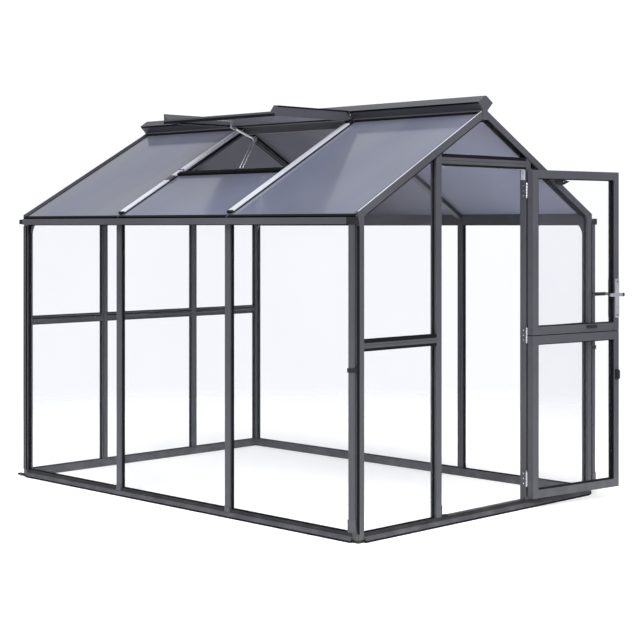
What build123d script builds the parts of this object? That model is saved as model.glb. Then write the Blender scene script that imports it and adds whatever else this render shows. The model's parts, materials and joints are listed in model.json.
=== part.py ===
from build123d import *
import os
from math import cos, radians, sin, sqrt, tan

# House, outer face to outer face
house_width = 1886
house_length = 2750
wall_height = 1498
roof_pitch = 29.5

# Wall bars: posts, rails and the grooves that hold the panes
bar_width = 40
bar_depth = 40
corner_notch = 6
pane_thickness = 4
pane_setback = 18
groove_depth = 8
pane_play = 0.3
pane_edge_play = 1

# Base
sill_height = 45
flange_reach = 12
flange_root = 27
flange_tip = 13
flange_drop = 9
flange_thickness = 3
foot_height = 15
foot_inset = 1.5
anchor_hole_radius = 4.5
anchor_hole_inset = 160
anchor_hole_depth = 31

# Rails
mid_rail_height = 46
mid_rail_rise = 15
header_height = 54
header_gap = 7
face_line_width = 4
face_line_depth = 2.5

# Eaves, gutters and downpipes
eave_rise = 58.9
gutter_width = 48
gutter_height = 33
gutter_wall = 2.5
gutter_end_gap = 60
outlet_length = 34
outlet_wall = 4
end_cap_length = 38
end_cap_inset = 3
downpipe_width = 28
downpipe_depth = 20
downpipe_wall = 2
downpipe_gap = 15
downpipe_foot = 95
clip_level = 815
clip_height = 20
clip_wall = 3
clip_play = 0.3
gusset_drop = 70
gusset_reach = 30
gusset_thickness = 16

# Roof
roof_pane_thickness = 6
pane_recess = 12
pane_overhang = 4
rafter_depth = 40
rafter_lip = 10
cap_rise = 2
cap_thickness = 8
cap_seat_inset = 3
cap_web = 10
cap_foot_inset = 20
cap_ridge_gap = 8
keel_width = 36
ridge_width = 120
ridge_crown_width = 16
ridge_neck_rise = 3
ridge_lip_rise = 40
ridge_crown_rise = 34
end_plate_thickness = 3

# Roof vent, hinged under the lip of the ridge
vent_opening = 29.5
vent_axis_reach = 53
sash_length = 564
sash_thickness = 22
sash_rail = 34
sash_side_lap = 7
sash_lift = 9
upstand_height = 31
upstand_lip = 8
upstand_root = 13
crossbar_width = 28
crossbar_reach = 6
crossbar_rise = 4
ear_thickness = 5
ear_play = 1
ear_radius = 8
ear_root_inner = 24
ear_root_outer = 56
vent_pin_radius = 4
running_play = 0.05

# Stay that props the vent: a tube from the sash and a pair of rods from the crossbar
stay_arm_length = 180
stay_rod_length = 203
arm_pivot_reach = 455
arm_pivot_drop = 46
rod_pivot_gap = 64
rod_pivot_drop = 50
stay_pin_radius = 3
stay_eye_radius = 8
stay_lug_width = 8
stay_fork_wall = 4
stay_side_play = 0.5
stay_tube_radius = 5.5
stay_rod_radius = 2.6
rod_spread = 12.5
knuckle_radius = 15
knuckle_width = 12
knuckle_slack = 6
bracket_width = 40
bracket_thickness = 4

# Doorway and the two leaves of the door
doorway_width = 685
door_opening = 172.5
hinge_gap = 4
head_gap = 4
split_gap = 4
split_height = 913
guide_foot = 7
guide_play = 3
guide_wall = 9
guide_length = 56
guide_rise = 58
guide_depth = 20
guide_setback = 4
stile_width = 40
rail_height = 44
leaf_depth = 40
lip_height = 15
lip_recess = 2

# Door hinges
barrel_radius = 4.5
barrel_stand_off = 5.5
hinge_pin_radius = 2.5
hinge_height = 78
knuckle_play = 0.3
flap_thickness = 1.5
flap_depth = 30
top_hinge_drop = 109
bottom_hinge_rise = 101

# Header brackets
bracket_leg_down = 56
bracket_leg_across = 32
bracket_sheet = 2
bracket_depth = 28

# Handle set on the upper leaf
plate_rise = 70
plate_height = 215
plate_width = 32
plate_thickness = 7
lever_rise = 129
lever_length = 108
lever_reach = 45
lever_thickness = 14
lever_width = 18
spindle_radius = 5
spindle_hole_radius = 8
keyhole_drop = 72
keyhole_radius = 6
bolt_height = 26
bolt_width = 12
bolt_reach = 10
bolt_throw = 8
bolt_play = 0.3

# Turn catch on the upper leaf and turn latch on the lower leaf
catch_pivot_reach = 418
catch_length = 78
catch_height = 16
catch_thickness = 7
catch_stand_off = 1
catch_pin_radius = 4
catch_pin_depth = 14
latch_drop = 221
latch_base_height = 56
latch_base_width = 24
latch_base_thickness = 5
latch_length = 52
latch_width = 20
latch_thickness = 12
latch_pin_radius = 4
pin_end_play = 0.5

# Catch plate on the right front rafter that holds the open door
door_catch_inset = 343
door_catch_length = 115
door_catch_height = 38
door_catch_thickness = 14
door_catch_hole_radius = 4

# Places worked out from the sizes above
half_width = house_width / 2
half_length = house_length / 2
pitch = radians(roof_pitch)
slope = tan(pitch)
roof_foot = wall_height + eave_rise
pane_rest = pane_recess + roof_pane_thickness
beam_top = roof_foot - pane_rest / cos(pitch)
bay_spacing = (house_length - bar_width) / 3
pane_middle = pane_setback + pane_thickness / 2
groove_width = pane_thickness + 2 * pane_play
pane_bite = groove_depth - pane_edge_play
door_post_middle = (doorway_width + bar_width) / 2
keel_half = keel_width / 2


def roof_height(across, below=0):
    """Height of the plane that lies below the roof's top face, at a distance from the ridge line."""
    return roof_foot + (half_width - abs(across)) * slope - below / cos(pitch)


keel_bottom = roof_height(keel_half, rafter_depth)
ridge_neck = roof_height(keel_half) + ridge_neck_rise
header_top = roof_height(doorway_width / 2, rafter_depth) - header_gap
header_bottom = header_top - header_height
mid_rail_bottom = split_height + mid_rail_rise - mid_rail_height / 2
mid_rail_top = mid_rail_bottom + mid_rail_height

# Each wall as seen from outside: across to the right, inward, up
front_wall = Plane(origin=(0, -half_length, 0), x_dir=(1, 0, 0), z_dir=(0, 0, 1))
back_wall = Plane(origin=(0, half_length, 0), x_dir=(-1, 0, 0), z_dir=(0, 0, 1))
left_wall = Plane(origin=(-half_width, 0, 0), x_dir=(0, -1, 0), z_dir=(0, 0, 1))
right_wall = Plane(origin=(half_width, 0, 0), x_dir=(0, 1, 0), z_dir=(0, 0, 1))

# Vent axis, the closed roof slope seen from the side, and the sash as it stands open
vent_axis_rise = sash_lift + sash_thickness / 2
vent_axis = Vector(-vent_axis_reach, 0, roof_height(vent_axis_reach, -vent_axis_rise))
sash_tilt = pitch - radians(vent_opening)
slope_side = Plane(origin=vent_axis, x_dir=(-cos(pitch), 0, -sin(pitch)), z_dir=(0, 1, 0))
sash_side = Plane(origin=vent_axis, x_dir=(-cos(sash_tilt), 0, -sin(sash_tilt)), z_dir=(0, 1, 0))
sash_half = bay_spacing / 2 + sash_side_lap
crossbar_far = sash_length + crossbar_reach
crossbar_near = crossbar_far - crossbar_width

# Stay: pivot on the sash, pivot at the crossbar and the knuckle between them
rod_pivot_reach = crossbar_near - rod_pivot_gap
arm_pivot = sash_side.from_local_coords(Vector(arm_pivot_reach, -arm_pivot_drop, 0))
rod_pivot = slope_side.from_local_coords(Vector(rod_pivot_reach, -rod_pivot_drop, 0))
pivot_line = rod_pivot - arm_pivot
pivot_gap = pivot_line.length
arm_share = (stay_arm_length**2 - stay_rod_length**2 + pivot_gap**2) / (2 * pivot_gap)
knuckle_offset = sqrt(stay_arm_length**2 - arm_share**2)
pivot_direction = pivot_line.normalized()
knuckle_direction = Vector(-pivot_direction.Z, 0, pivot_direction.X)
knuckle = arm_pivot + pivot_direction * arm_share + knuckle_direction * knuckle_offset

# Open door, seen from above: along the leaf from its hinge axis, then towards its outer face
door_turn = radians(180 - door_opening)
hinge_x = doorway_width / 2 - hinge_gap / 2
hinge_y = -half_length - barrel_stand_off
door = Plane(origin=(hinge_x, hinge_y, 0), x_dir=(cos(door_turn), -sin(door_turn), 0), z_dir=(0, 0, 1))
leaf_start = hinge_gap / 2
free_gap = guide_wall + guide_play
leaf_end = doorway_width - hinge_gap / 2 - free_gap
outer_face = -barrel_stand_off
inner_face = outer_face - leaf_depth
leaf_pane_middle = outer_face - pane_middle
leaf_bottom = sill_height + guide_foot + guide_play
leaf_top = header_bottom - head_gap
free_stile_middle = leaf_end - stile_width / 2
lower_leaf_top = split_height - split_gap / 2
upper_leaf_bottom = split_height + split_gap / 2
top_hinge_level = leaf_top - top_hinge_drop
bottom_hinge_level = leaf_bottom + bottom_hinge_rise
plate_bottom = upper_leaf_bottom + plate_rise
lever_level = plate_bottom + lever_rise
latch_level = lower_leaf_top - latch_drop


def outline(plane, points):
    """A flat outline through corner points given on the plane."""
    with BuildSketch(plane) as shape:
        with BuildLine():
            Polyline(*points, close=True)
        make_face()
    return shape.sketch


def block(plane, x_low, x_high, y_low, y_high):
    """A rectangle between two corners on the plane."""
    with BuildSketch(plane) as shape:
        with Locations(((x_low + x_high) / 2, (y_low + y_high) / 2)):
            Rectangle(x_high - x_low, y_high - y_low)
    return shape.sketch


def disc(plane, centre, radius):
    """A circle on the plane."""
    with BuildSketch(plane) as shape:
        with Locations(centre):
            Circle(radius)
    return shape.sketch


def post_section(wall, middle, groove_sides, low=0):
    """Section of an upright bar in a wall, with a pane groove in each named side."""
    with BuildSketch(wall.offset(low)) as section:
        with Locations((middle, bar_depth / 2)):
            Rectangle(bar_width, bar_depth)
        for side in groove_sides:
            with Locations((middle + side * (bar_width - groove_depth) / 2, pane_middle)):
                Rectangle(groove_depth, groove_width, mode=Mode.SUBTRACT)
    return section.sketch


def end_plane(wall, along):
    """Plane across a wall: inward, then up."""
    return Plane(origin=wall.from_local_coords(Vector(along, 0, 0)), x_dir=wall.y_dir, z_dir=wall.x_dir)


def rail_section(wall, along, low, high, groove_ends):
    """Section of a level bar in a wall: a line along its face, a pane groove in its top or underside."""
    middle = (low + high) / 2
    with BuildSketch(end_plane(wall, along)) as section:
        with Locations((bar_depth / 2, middle)):
            Rectangle(bar_depth, high - low)
        with Locations((face_line_depth / 2, middle)):
            Rectangle(face_line_depth, face_line_width, mode=Mode.SUBTRACT)
        for end in groove_ends:
            groove_middle = high - groove_depth / 2 if end > 0 else low + groove_depth / 2
            with Locations((pane_middle, groove_middle)):
                Rectangle(groove_width, groove_depth, mode=Mode.SUBTRACT)
    return section.sketch


def cross_house(y):
    """Upright plane across the house at a distance from its middle, facing the back."""
    return Plane(origin=(0, y, 0), x_dir=(-1, 0, 0), z_dir=(0, 1, 0))


def slope_points(side, outer, inner, top, bottom):
    """Side view of a bar or pane that lies in one roof slope, with upright cuts at its ends."""
    return [
        (-side * outer, roof_height(outer, top)),
        (-side * inner, roof_height(inner, top)),
        (-side * inner, roof_height(inner, bottom)),
        (-side * outer, roof_height(outer, bottom)),
    ]


def under_roof(below):
    """Everything above the plane that lies below the roof's top face, as a cutting outline."""
    reach = house_width
    crown = roof_height(0) + house_width
    points = [
        (-reach, roof_height(reach, below)),
        (0, roof_height(0, below)),
        (reach, roof_height(reach, below)),
        (reach, crown),
        (-reach, crown),
    ]
    return outline(cross_house(-house_length), points)


def gable_pane_points(low, across_low, across_high):
    """Outline of a gable pane whose top follows the rafters and stops under the ridge keel."""
    top = rafter_depth - pane_bite
    ceiling = keel_bottom - pane_edge_play
    flat_half = keel_half + (roof_height(keel_half, top) - ceiling) / slope
    points = [(across_low, low), (across_low, roof_height(across_low, top))]
    if across_low < -flat_half and across_high > flat_half:
        points += [(-flat_half, ceiling), (flat_half, ceiling)]
    points += [(across_high, roof_height(across_high, top)), (across_high, low)]
    return points


# Base sills with a drip flange, bored near the corners for ground anchors
def sill_section(wall, along):
    slant = (flange_root - flange_tip) / flange_reach
    with BuildSketch(end_plane(wall, along)) as section:
        with Locations((bar_depth / 2, sill_height / 2)):
            Rectangle(bar_depth, sill_height)
        with BuildLine():
            Polyline(
                (0, flange_root),
                (-flange_reach, flange_tip),
                (-flange_reach, flange_tip - flange_drop),
                (flange_thickness - flange_reach, flange_tip - flange_drop),
                (flange_thickness - flange_reach, flange_tip + flange_thickness * (slant - 1)),
                (0, flange_root - flange_thickness),
                close=True,
            )
        make_face()
    return section.sketch


def sill_groove(wall, low, high):
    """Pane groove in the top of a sill, between two places along the wall."""
    plane = wall.offset(sill_height - groove_depth)
    return block(plane, low, high, pane_middle - groove_width / 2, pane_middle + groove_width / 2)


long_sill = house_length - 2 * bar_width
cross_sill = house_width - 2 * bar_width
door_bay_edge = door_post_middle + bar_width / 2
anchor_spacing_y = house_length - 2 * anchor_hole_inset

with BuildPart() as sill_left:
    extrude(sill_section(left_wall, -long_sill / 2), amount=long_sill)
    pane_slot = sill_groove(left_wall, -long_sill / 2, long_sill / 2)
    extrude(pane_slot, amount=groove_depth, mode=Mode.SUBTRACT)
    with Locations(left_wall):
        with GridLocations(anchor_spacing_y, bar_depth, 2, 1):
            with Locations((0, anchor_hole_depth, sill_height)):
                Hole(anchor_hole_radius, depth=sill_height)

with BuildPart() as sill_right:
    extrude(sill_section(right_wall, -long_sill / 2), amount=long_sill)
    pane_slot = sill_groove(right_wall, -long_sill / 2, long_sill / 2)
    extrude(pane_slot, amount=groove_depth, mode=Mode.SUBTRACT)
    with Locations(right_wall):
        with GridLocations(anchor_spacing_y, bar_depth, 2, 1):
            with Locations((0, anchor_hole_depth, sill_height)):
                Hole(anchor_hole_radius, depth=sill_height)

with BuildPart() as sill_front:
    extrude(sill_section(front_wall, -cross_sill / 2), amount=cross_sill)
    for side in (-1, 1):
        groove_ends = sorted((side * cross_sill / 2, side * (door_bay_edge - groove_depth)))
        extrude(sill_groove(front_wall, *groove_ends), amount=groove_depth, mode=Mode.SUBTRACT)

with BuildPart() as sill_back:
    extrude(sill_section(back_wall, -cross_sill / 2), amount=cross_sill)
    pane_slot = sill_groove(back_wall, -cross_sill / 2, cross_sill / 2)
    extrude(pane_slot, amount=groove_depth, mode=Mode.SUBTRACT)

with BuildPart() as corner_feet:
    with BuildSketch():
        with GridLocations(house_width - bar_width, house_length - bar_width, 2, 2):
            RectangleRounded(bar_width - 2 * foot_inset, bar_width - 2 * foot_inset, 2 * foot_inset)
    extrude(amount=foot_height)

# Posts, cut off under the rafters in the gables
with BuildPart() as corner_posts:
    for wall in (front_wall, back_wall):
        for side in (-1, 1):
            middle = side * (house_width - bar_width) / 2
            with BuildSketch(wall.offset(foot_height)) as corner_section:
                with Locations((middle, bar_width / 2)):
                    Rectangle(bar_width, bar_width)
                with Locations((side * (half_width - corner_notch / 2), corner_notch / 2)):
                    Rectangle(corner_notch, corner_notch, mode=Mode.SUBTRACT)
                with Locations((side * (half_width - bar_width + groove_depth / 2), pane_middle)):
                    Rectangle(groove_depth, groove_width, mode=Mode.SUBTRACT)
                with Locations((side * (half_width - pane_middle), bar_width - groove_depth / 2)):
                    Rectangle(groove_width, groove_depth, mode=Mode.SUBTRACT)
            extrude(corner_section.sketch, amount=ridge_neck)
    extrude(under_roof(rafter_depth), amount=2 * house_length, mode=Mode.SUBTRACT)

with BuildPart() as side_posts_left:
    for middle in (-bay_spacing / 2, bay_spacing / 2):
        extrude(post_section(left_wall, middle, (-1, 1), sill_height), amount=wall_height - sill_height)

with BuildPart() as side_posts_right:
    for middle in (-bay_spacing / 2, bay_spacing / 2):
        extrude(post_section(right_wall, middle, (-1, 1), sill_height), amount=wall_height - sill_height)


def header_groove(side):
    """Pane groove in the doorway side of a door post, above the header."""
    edge = side * doorway_width / 2
    low, high = sorted((edge, edge + side * groove_depth))
    plane = front_wall.offset(header_top - groove_depth)
    return block(plane, low, high, pane_middle - groove_width / 2, pane_middle + groove_width / 2)


with BuildPart() as door_post_left:
    extrude(post_section(front_wall, -door_post_middle, (-1,), sill_height), amount=ridge_neck)
    extrude(header_groove(-1), amount=ridge_neck, mode=Mode.SUBTRACT)
    extrude(under_roof(rafter_depth), amount=2 * house_length, mode=Mode.SUBTRACT)

with BuildPart() as door_post_right:
    extrude(post_section(front_wall, door_post_middle, (1,), sill_height), amount=ridge_neck)
    extrude(header_groove(1), amount=ridge_neck, mode=Mode.SUBTRACT)
    extrude(under_roof(rafter_depth), amount=2 * house_length, mode=Mode.SUBTRACT)

with BuildPart() as back_posts:
    for middle in (-door_post_middle, door_post_middle):
        extrude(post_section(back_wall, middle, (-1, 1), sill_height), amount=ridge_neck)
    extrude(under_roof(rafter_depth), amount=2 * house_length, mode=Mode.SUBTRACT)

# Rails between the posts
side_bay_low = door_bay_edge
side_bay_high = half_width - bar_width
side_bay = side_bay_high - side_bay_low

with BuildPart() as front_mid_rails:
    for start in (-side_bay_high, side_bay_low):
        extrude(rail_section(front_wall, start, mid_rail_bottom, mid_rail_top, (-1, 1)), amount=side_bay)

with BuildPart() as back_mid_rails:
    for start in (-side_bay_high, side_bay_low):
        extrude(rail_section(back_wall, start, mid_rail_bottom, mid_rail_top, (-1, 1)), amount=side_bay)
    middle_rail = rail_section(back_wall, -doorway_width / 2, mid_rail_bottom, mid_rail_top, (-1, 1))
    extrude(middle_rail, amount=doorway_width)

with BuildPart() as door_header:
    header_section = rail_section(front_wall, -doorway_width / 2, header_bottom, header_top, (1,))
    extrude(header_section, amount=doorway_width)

with BuildPart() as header_brackets:
    for side in (-1, 1):
        edge = side * doorway_width / 2
        bracket_back = pane_middle + bracket_depth / 2
        with BuildSketch(cross_house(-half_length + bracket_back - bracket_depth)) as angle:
            with BuildLine():
                Polyline(
                    (-edge, header_bottom),
                    (-edge + side * bracket_leg_across, header_bottom),
                    (-edge + side * bracket_leg_across, header_bottom - bracket_sheet),
                    (-edge + side * bracket_sheet, header_bottom - bracket_sheet),
                    (-edge + side * bracket_sheet, header_bottom - bracket_leg_down),
                    (-edge, header_bottom - bracket_leg_down),
                    close=True,
                )
            make_face()
        extrude(angle.sketch, amount=bracket_depth)


# Eave beams carry the lower edge of the roof panes and the gutters
def eave_section(wall, along):
    points = [
        (0, wall_height),
        (0, beam_top),
        (bar_depth, beam_top + bar_depth * slope),
        (bar_depth, wall_height),
    ]
    with BuildSketch(end_plane(wall, along)) as section:
        with BuildLine():
            Polyline(*points, close=True)
        make_face()
        with Locations((pane_middle, wall_height + groove_depth / 2)):
            Rectangle(groove_width, groove_depth, mode=Mode.SUBTRACT)
    return section.sketch


with BuildPart() as eave_beam_left:
    extrude(eave_section(left_wall, -long_sill / 2), amount=long_sill)

with BuildPart() as eave_beam_right:
    extrude(eave_section(right_wall, -long_sill / 2), amount=long_sill)

gutter_length = house_length - outlet_length - gutter_end_gap
gutter_start = -half_length + outlet_length
gutter_end = gutter_start + gutter_length
gutter_top = wall_height + gutter_height
downpipe_near = half_width + downpipe_gap
downpipe_far = downpipe_near + downpipe_width
downpipe_front = -half_length + (outlet_length - downpipe_depth) / 2
downpipe_back = downpipe_front + downpipe_depth

with BuildPart() as gutters:
    for side in (-1, 1):
        near = -side * half_width
        far = -side * (half_width + gutter_width)
        wall = -side * gutter_wall
        trough = [
            (near, gutter_top),
            (near, wall_height),
            (far, wall_height),
            (far, gutter_top),
            (far - wall, gutter_top),
            (far - wall, wall_height + gutter_wall),
            (near + wall, wall_height + gutter_wall),
            (near + wall, gutter_top),
        ]
        extrude(outline(cross_house(gutter_start), trough), amount=gutter_length)

with BuildPart() as gutter_outlets:
    ground = Plane.XY
    for side in (-1, 1):
        near, far = sorted((side * half_width, side * (half_width + gutter_width)))
        box = block(ground.offset(wall_height), near, far, -half_length, gutter_start)
        extrude(box, amount=gutter_height)
        basin = block(
            ground.offset(wall_height + outlet_wall),
            near + outlet_wall,
            far - outlet_wall,
            -half_length + outlet_wall,
            gutter_start,
        )
        extrude(basin, amount=gutter_height, mode=Mode.SUBTRACT)
        pipe_near, pipe_far = sorted((side * downpipe_near, side * downpipe_far))
        drain = block(
            ground.offset(wall_height),
            pipe_near + downpipe_wall,
            pipe_far - downpipe_wall,
            downpipe_front + downpipe_wall,
            downpipe_back - downpipe_wall,
        )
        extrude(drain, amount=gutter_height, mode=Mode.SUBTRACT)

with BuildPart() as gutter_end_caps:
    for side in (-1, 1):
        near = side * (half_width + end_cap_inset)
        far = side * (half_width + gutter_width - end_cap_inset)
        low, high = sorted((-near, -far))
        cap_face = block(
            cross_house(gutter_end), low, high, wall_height + end_cap_inset, gutter_top - end_cap_inset
        )
        extrude(cap_face, amount=end_cap_length)
    fillet(gutter_end_caps.edges().group_by(Axis.Y)[-1], end_cap_inset)

with BuildPart() as downpipes:
    for side in (-1, 1):
        pipe_near, pipe_far = sorted((side * downpipe_near, side * downpipe_far))
        pipe_middle = ((pipe_near + pipe_far) / 2, (downpipe_front + downpipe_back) / 2)
        with BuildSketch(Plane.XY.offset(downpipe_foot)) as pipe:
            with Locations(pipe_middle):
                RectangleRounded(downpipe_width, downpipe_depth, 2 * downpipe_wall)
                RectangleRounded(
                    downpipe_width - 2 * downpipe_wall,
                    downpipe_depth - 2 * downpipe_wall,
                    downpipe_wall,
                    mode=Mode.SUBTRACT,
                )
        extrude(pipe.sketch, amount=wall_height - downpipe_foot)

with BuildPart() as downpipe_clips:
    for side in (-1, 1):
        reach = downpipe_far + clip_wall
        near, far = sorted((side * half_width, side * reach))
        level = Plane.XY.offset(clip_level - clip_height / 2)
        strap = block(level, near, far, downpipe_front - clip_wall, downpipe_back + clip_wall)
        extrude(strap, amount=clip_height)
        pipe_near, pipe_far = sorted((side * downpipe_near, side * downpipe_far))
        passage = block(
            level,
            pipe_near - clip_play,
            pipe_far + clip_play,
            downpipe_front - clip_play,
            downpipe_back + clip_play,
        )
        extrude(passage, amount=clip_height, mode=Mode.SUBTRACT)

# Curved gussets in the four corners under the eave beams
with BuildPart() as corner_gussets:
    for wall in (left_wall, right_wall):
        for side in (-1, 1):
            corner = side * long_sill / 2
            plane = Plane(
                origin=wall.from_local_coords(Vector(0, bar_depth, 0)),
                x_dir=wall.x_dir,
                z_dir=-wall.y_dir,
            )
            with BuildSketch(plane) as gusset:
                with BuildLine():
                    Line((corner, wall_height), (corner - side * gusset_reach, wall_height))
                    SagittaArc(
                        (corner - side * gusset_reach, wall_height),
                        (corner, wall_height - gusset_drop),
                        side * gusset_reach / 3,
                    )
                    Line((corner, wall_height - gusset_drop), (corner, wall_height))
                make_face()
            extrude(gusset.sketch, amount=gusset_thickness)

# Gable rafters: an upstanding lip along the outer edge, the panes rest lower down beside it
with BuildPart() as gable_rafters:
    for end in (-1, 1):
        for side in (-1, 1):
            outer_edge = -half_length if end < 0 else half_length - rafter_lip
            inner_edge = -half_length if end < 0 else half_length - bar_depth
            body = slope_points(side, half_width, keel_half, pane_rest, rafter_depth)
            extrude(outline(cross_house(inner_edge), body), amount=bar_depth)
            lip = slope_points(side, half_width, keel_half, 0, rafter_depth)
            extrude(outline(cross_house(outer_edge), lip), amount=rafter_lip)
            groove_outer = half_width - bar_width + groove_depth
            groove_roof = rafter_depth - groove_depth
            groove = slope_points(side, groove_outer, keel_half, groove_roof, rafter_depth)
            groove_start = end * (half_length - pane_middle) - groove_width / 2
            extrude(outline(cross_house(groove_start), groove), amount=groove_width, mode=Mode.SUBTRACT)

# Roof bars under the joints between panes, and the caps that clamp the panes down
bar_axes = (-bay_spacing / 2, bay_spacing / 2)

with BuildPart() as roof_bars:
    for side in (-1, 1):
        profile = slope_points(side, half_width - bar_depth, keel_half, pane_rest, rafter_depth)
        for axis in bar_axes:
            extrude(outline(cross_house(axis - bar_width / 2), profile), amount=bar_width)

with BuildPart() as bar_caps:
    for side in (-1, 1):
        for axis in bar_axes:
            cap_inner = keel_half + cap_ridge_gap
            cap_outer = half_width - cap_foot_inset
            cap_low = cap_thickness - cap_rise
            plate = slope_points(side, cap_outer, cap_inner, -cap_rise, cap_low)
            extrude(outline(cross_house(axis - bar_width / 2), plate), amount=bar_width)
            seat = slope_points(side, cap_outer, cap_inner, cap_low, pane_recess)
            seat_width = bar_width - 2 * cap_seat_inset
            extrude(outline(cross_house(axis - seat_width / 2), seat), amount=seat_width)
            web = slope_points(side, half_width - bar_depth, cap_inner, pane_recess, pane_rest)
            extrude(outline(cross_house(axis - cap_web / 2), web), amount=cap_web)

# Ridge beam: a keel between the rafters under a hexagonal cap
ridge_lip = ridge_neck + ridge_lip_rise
ridge_crown = ridge_lip + ridge_crown_rise
ridge_points = [
    (-keel_half, keel_bottom),
    (-keel_half, ridge_neck),
    (-ridge_width / 2, ridge_lip),
    (-ridge_crown_width / 2, ridge_crown),
    (ridge_crown_width / 2, ridge_crown),
    (ridge_width / 2, ridge_lip),
    (keel_half, ridge_neck),
    (keel_half, keel_bottom),
]

with BuildPart() as ridge_beam:
    extrude(outline(cross_house(-half_length), ridge_points), amount=house_length)

with BuildPart() as ridge_end_plates:
    for start in (-half_length - end_plate_thickness, half_length):
        extrude(outline(cross_house(start), ridge_points), amount=end_plate_thickness)

# Panes
edge_axis = half_length - rafter_lip + cap_web / 2
pane_edges = (-edge_axis, bar_axes[0], bar_axes[1], edge_axis)
pane_gap = cap_web / 2 + pane_edge_play
pane_inner = keel_half + pane_edge_play


def roof_pane(side, low_edge, high_edge, inner):
    """One roof pane between two bars, from its overhang above the gutter up to an inner edge."""
    sheet = slope_points(side, half_width + pane_overhang, inner, pane_recess, pane_rest)
    length = high_edge - low_edge - 2 * pane_gap
    extrude(outline(cross_house(low_edge + pane_gap), sheet), amount=length)


pane_level = -vent_axis_rise - pane_recess
crossbar_outer = -slope_side.from_local_coords(Vector(crossbar_far, pane_level, 0)).X

with BuildPart() as roof_panes_left:
    roof_pane(-1, pane_edges[0], pane_edges[1], pane_inner)
    roof_pane(-1, pane_edges[1], pane_edges[2], crossbar_outer + pane_edge_play)
    roof_pane(-1, pane_edges[2], pane_edges[3], pane_inner)

with BuildPart() as roof_panes_right:
    for low_edge, high_edge in zip(pane_edges[:-1], pane_edges[1:]):
        roof_pane(1, low_edge, high_edge, pane_inner)

wall_pane_low = sill_height - pane_bite
wall_pane_high = wall_height + pane_bite
post_axes = (-long_sill / 2 - bar_width / 2, bar_axes[0], bar_axes[1], long_sill / 2 + bar_width / 2)
pane_reach = bar_width / 2 - pane_bite

with BuildPart() as wall_panes:
    for wall in (left_wall, right_wall):
        for low_axis, high_axis in zip(post_axes[:-1], post_axes[1:]):
            foot = block(
                wall.offset(wall_pane_low),
                low_axis + pane_reach,
                high_axis - pane_reach,
                pane_setback,
                pane_setback + pane_thickness,
            )
            extrude(foot, amount=wall_pane_high - wall_pane_low)

bay_pane_low = side_bay_low - pane_bite
bay_pane_high = side_bay_high + pane_bite
door_pane_half = doorway_width / 2 + pane_bite
lower_pane_top = mid_rail_bottom + pane_bite
upper_pane_low = mid_rail_top - pane_bite
front_panes = cross_house(-half_length + pane_setback)
back_panes = cross_house(half_length - pane_setback - pane_thickness)


def side_bay_panes(plane):
    """Lower and upper panes of the two bays beside the doorway or its like in the back gable."""
    for side in (-1, 1):
        low, high = sorted((side * bay_pane_low, side * bay_pane_high))
        extrude(block(plane, low, high, wall_pane_low, lower_pane_top), amount=pane_thickness)
        extrude(outline(plane, gable_pane_points(upper_pane_low, low, high)), amount=pane_thickness)


with BuildPart() as gable_panes_front:
    side_bay_panes(front_panes)
    apex = gable_pane_points(header_top - pane_bite, -door_pane_half, door_pane_half)
    extrude(outline(front_panes, apex), amount=pane_thickness)

with BuildPart() as gable_panes_back:
    side_bay_panes(back_panes)
    low_middle = block(back_panes, -door_pane_half, door_pane_half, wall_pane_low, lower_pane_top)
    extrude(low_middle, amount=pane_thickness)
    high_middle = gable_pane_points(upper_pane_low, -door_pane_half, door_pane_half)
    extrude(outline(back_panes, high_middle), amount=pane_thickness)

# Roof vent: crossbar below it, ears at the ridge, and the sash on its two pins
with BuildPart() as vent_crossbar:
    crossbar_length = bay_spacing - bar_width
    crossbar = block(
        slope_side.offset(-crossbar_length / 2),
        crossbar_near,
        crossbar_far,
        -vent_axis_rise - rafter_depth,
        -vent_axis_rise + crossbar_rise,
    )
    extrude(crossbar, amount=crossbar_length)


def ridge_underside(across):
    """Height of the sloping underside of the ridge cap at a distance from the ridge line."""
    return ridge_neck + (across - keel_half) * ridge_lip_rise / (ridge_width / 2 - keel_half)


with BuildPart() as vent_hinge_ears:
    for side in (-1, 1):
        start = side * (sash_half + ear_play) - (ear_thickness if side < 0 else 0)
        with BuildSketch(cross_house(start)) as ear:
            with BuildLine():
                Polyline(
                    (ear_root_inner, ridge_underside(ear_root_inner)),
                    (ear_root_outer, ridge_underside(ear_root_outer)),
                    (vent_axis_reach + ear_radius, vent_axis.Z),
                    (vent_axis_reach - ear_radius, vent_axis.Z),
                    close=True,
                )
            make_face()
            with Locations((vent_axis_reach, vent_axis.Z)):
                Circle(ear_radius)
                Circle(vent_pin_radius + running_play, mode=Mode.SUBTRACT)
        extrude(ear.sketch, amount=ear_thickness)

with BuildPart() as vent_hinge_pins:
    pin_length = ear_play + ear_thickness + ear_play
    for start in (-sash_half - pin_length, sash_half):
        extrude(disc(sash_side.offset(start), (0, 0), vent_pin_radius), amount=pin_length)

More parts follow.
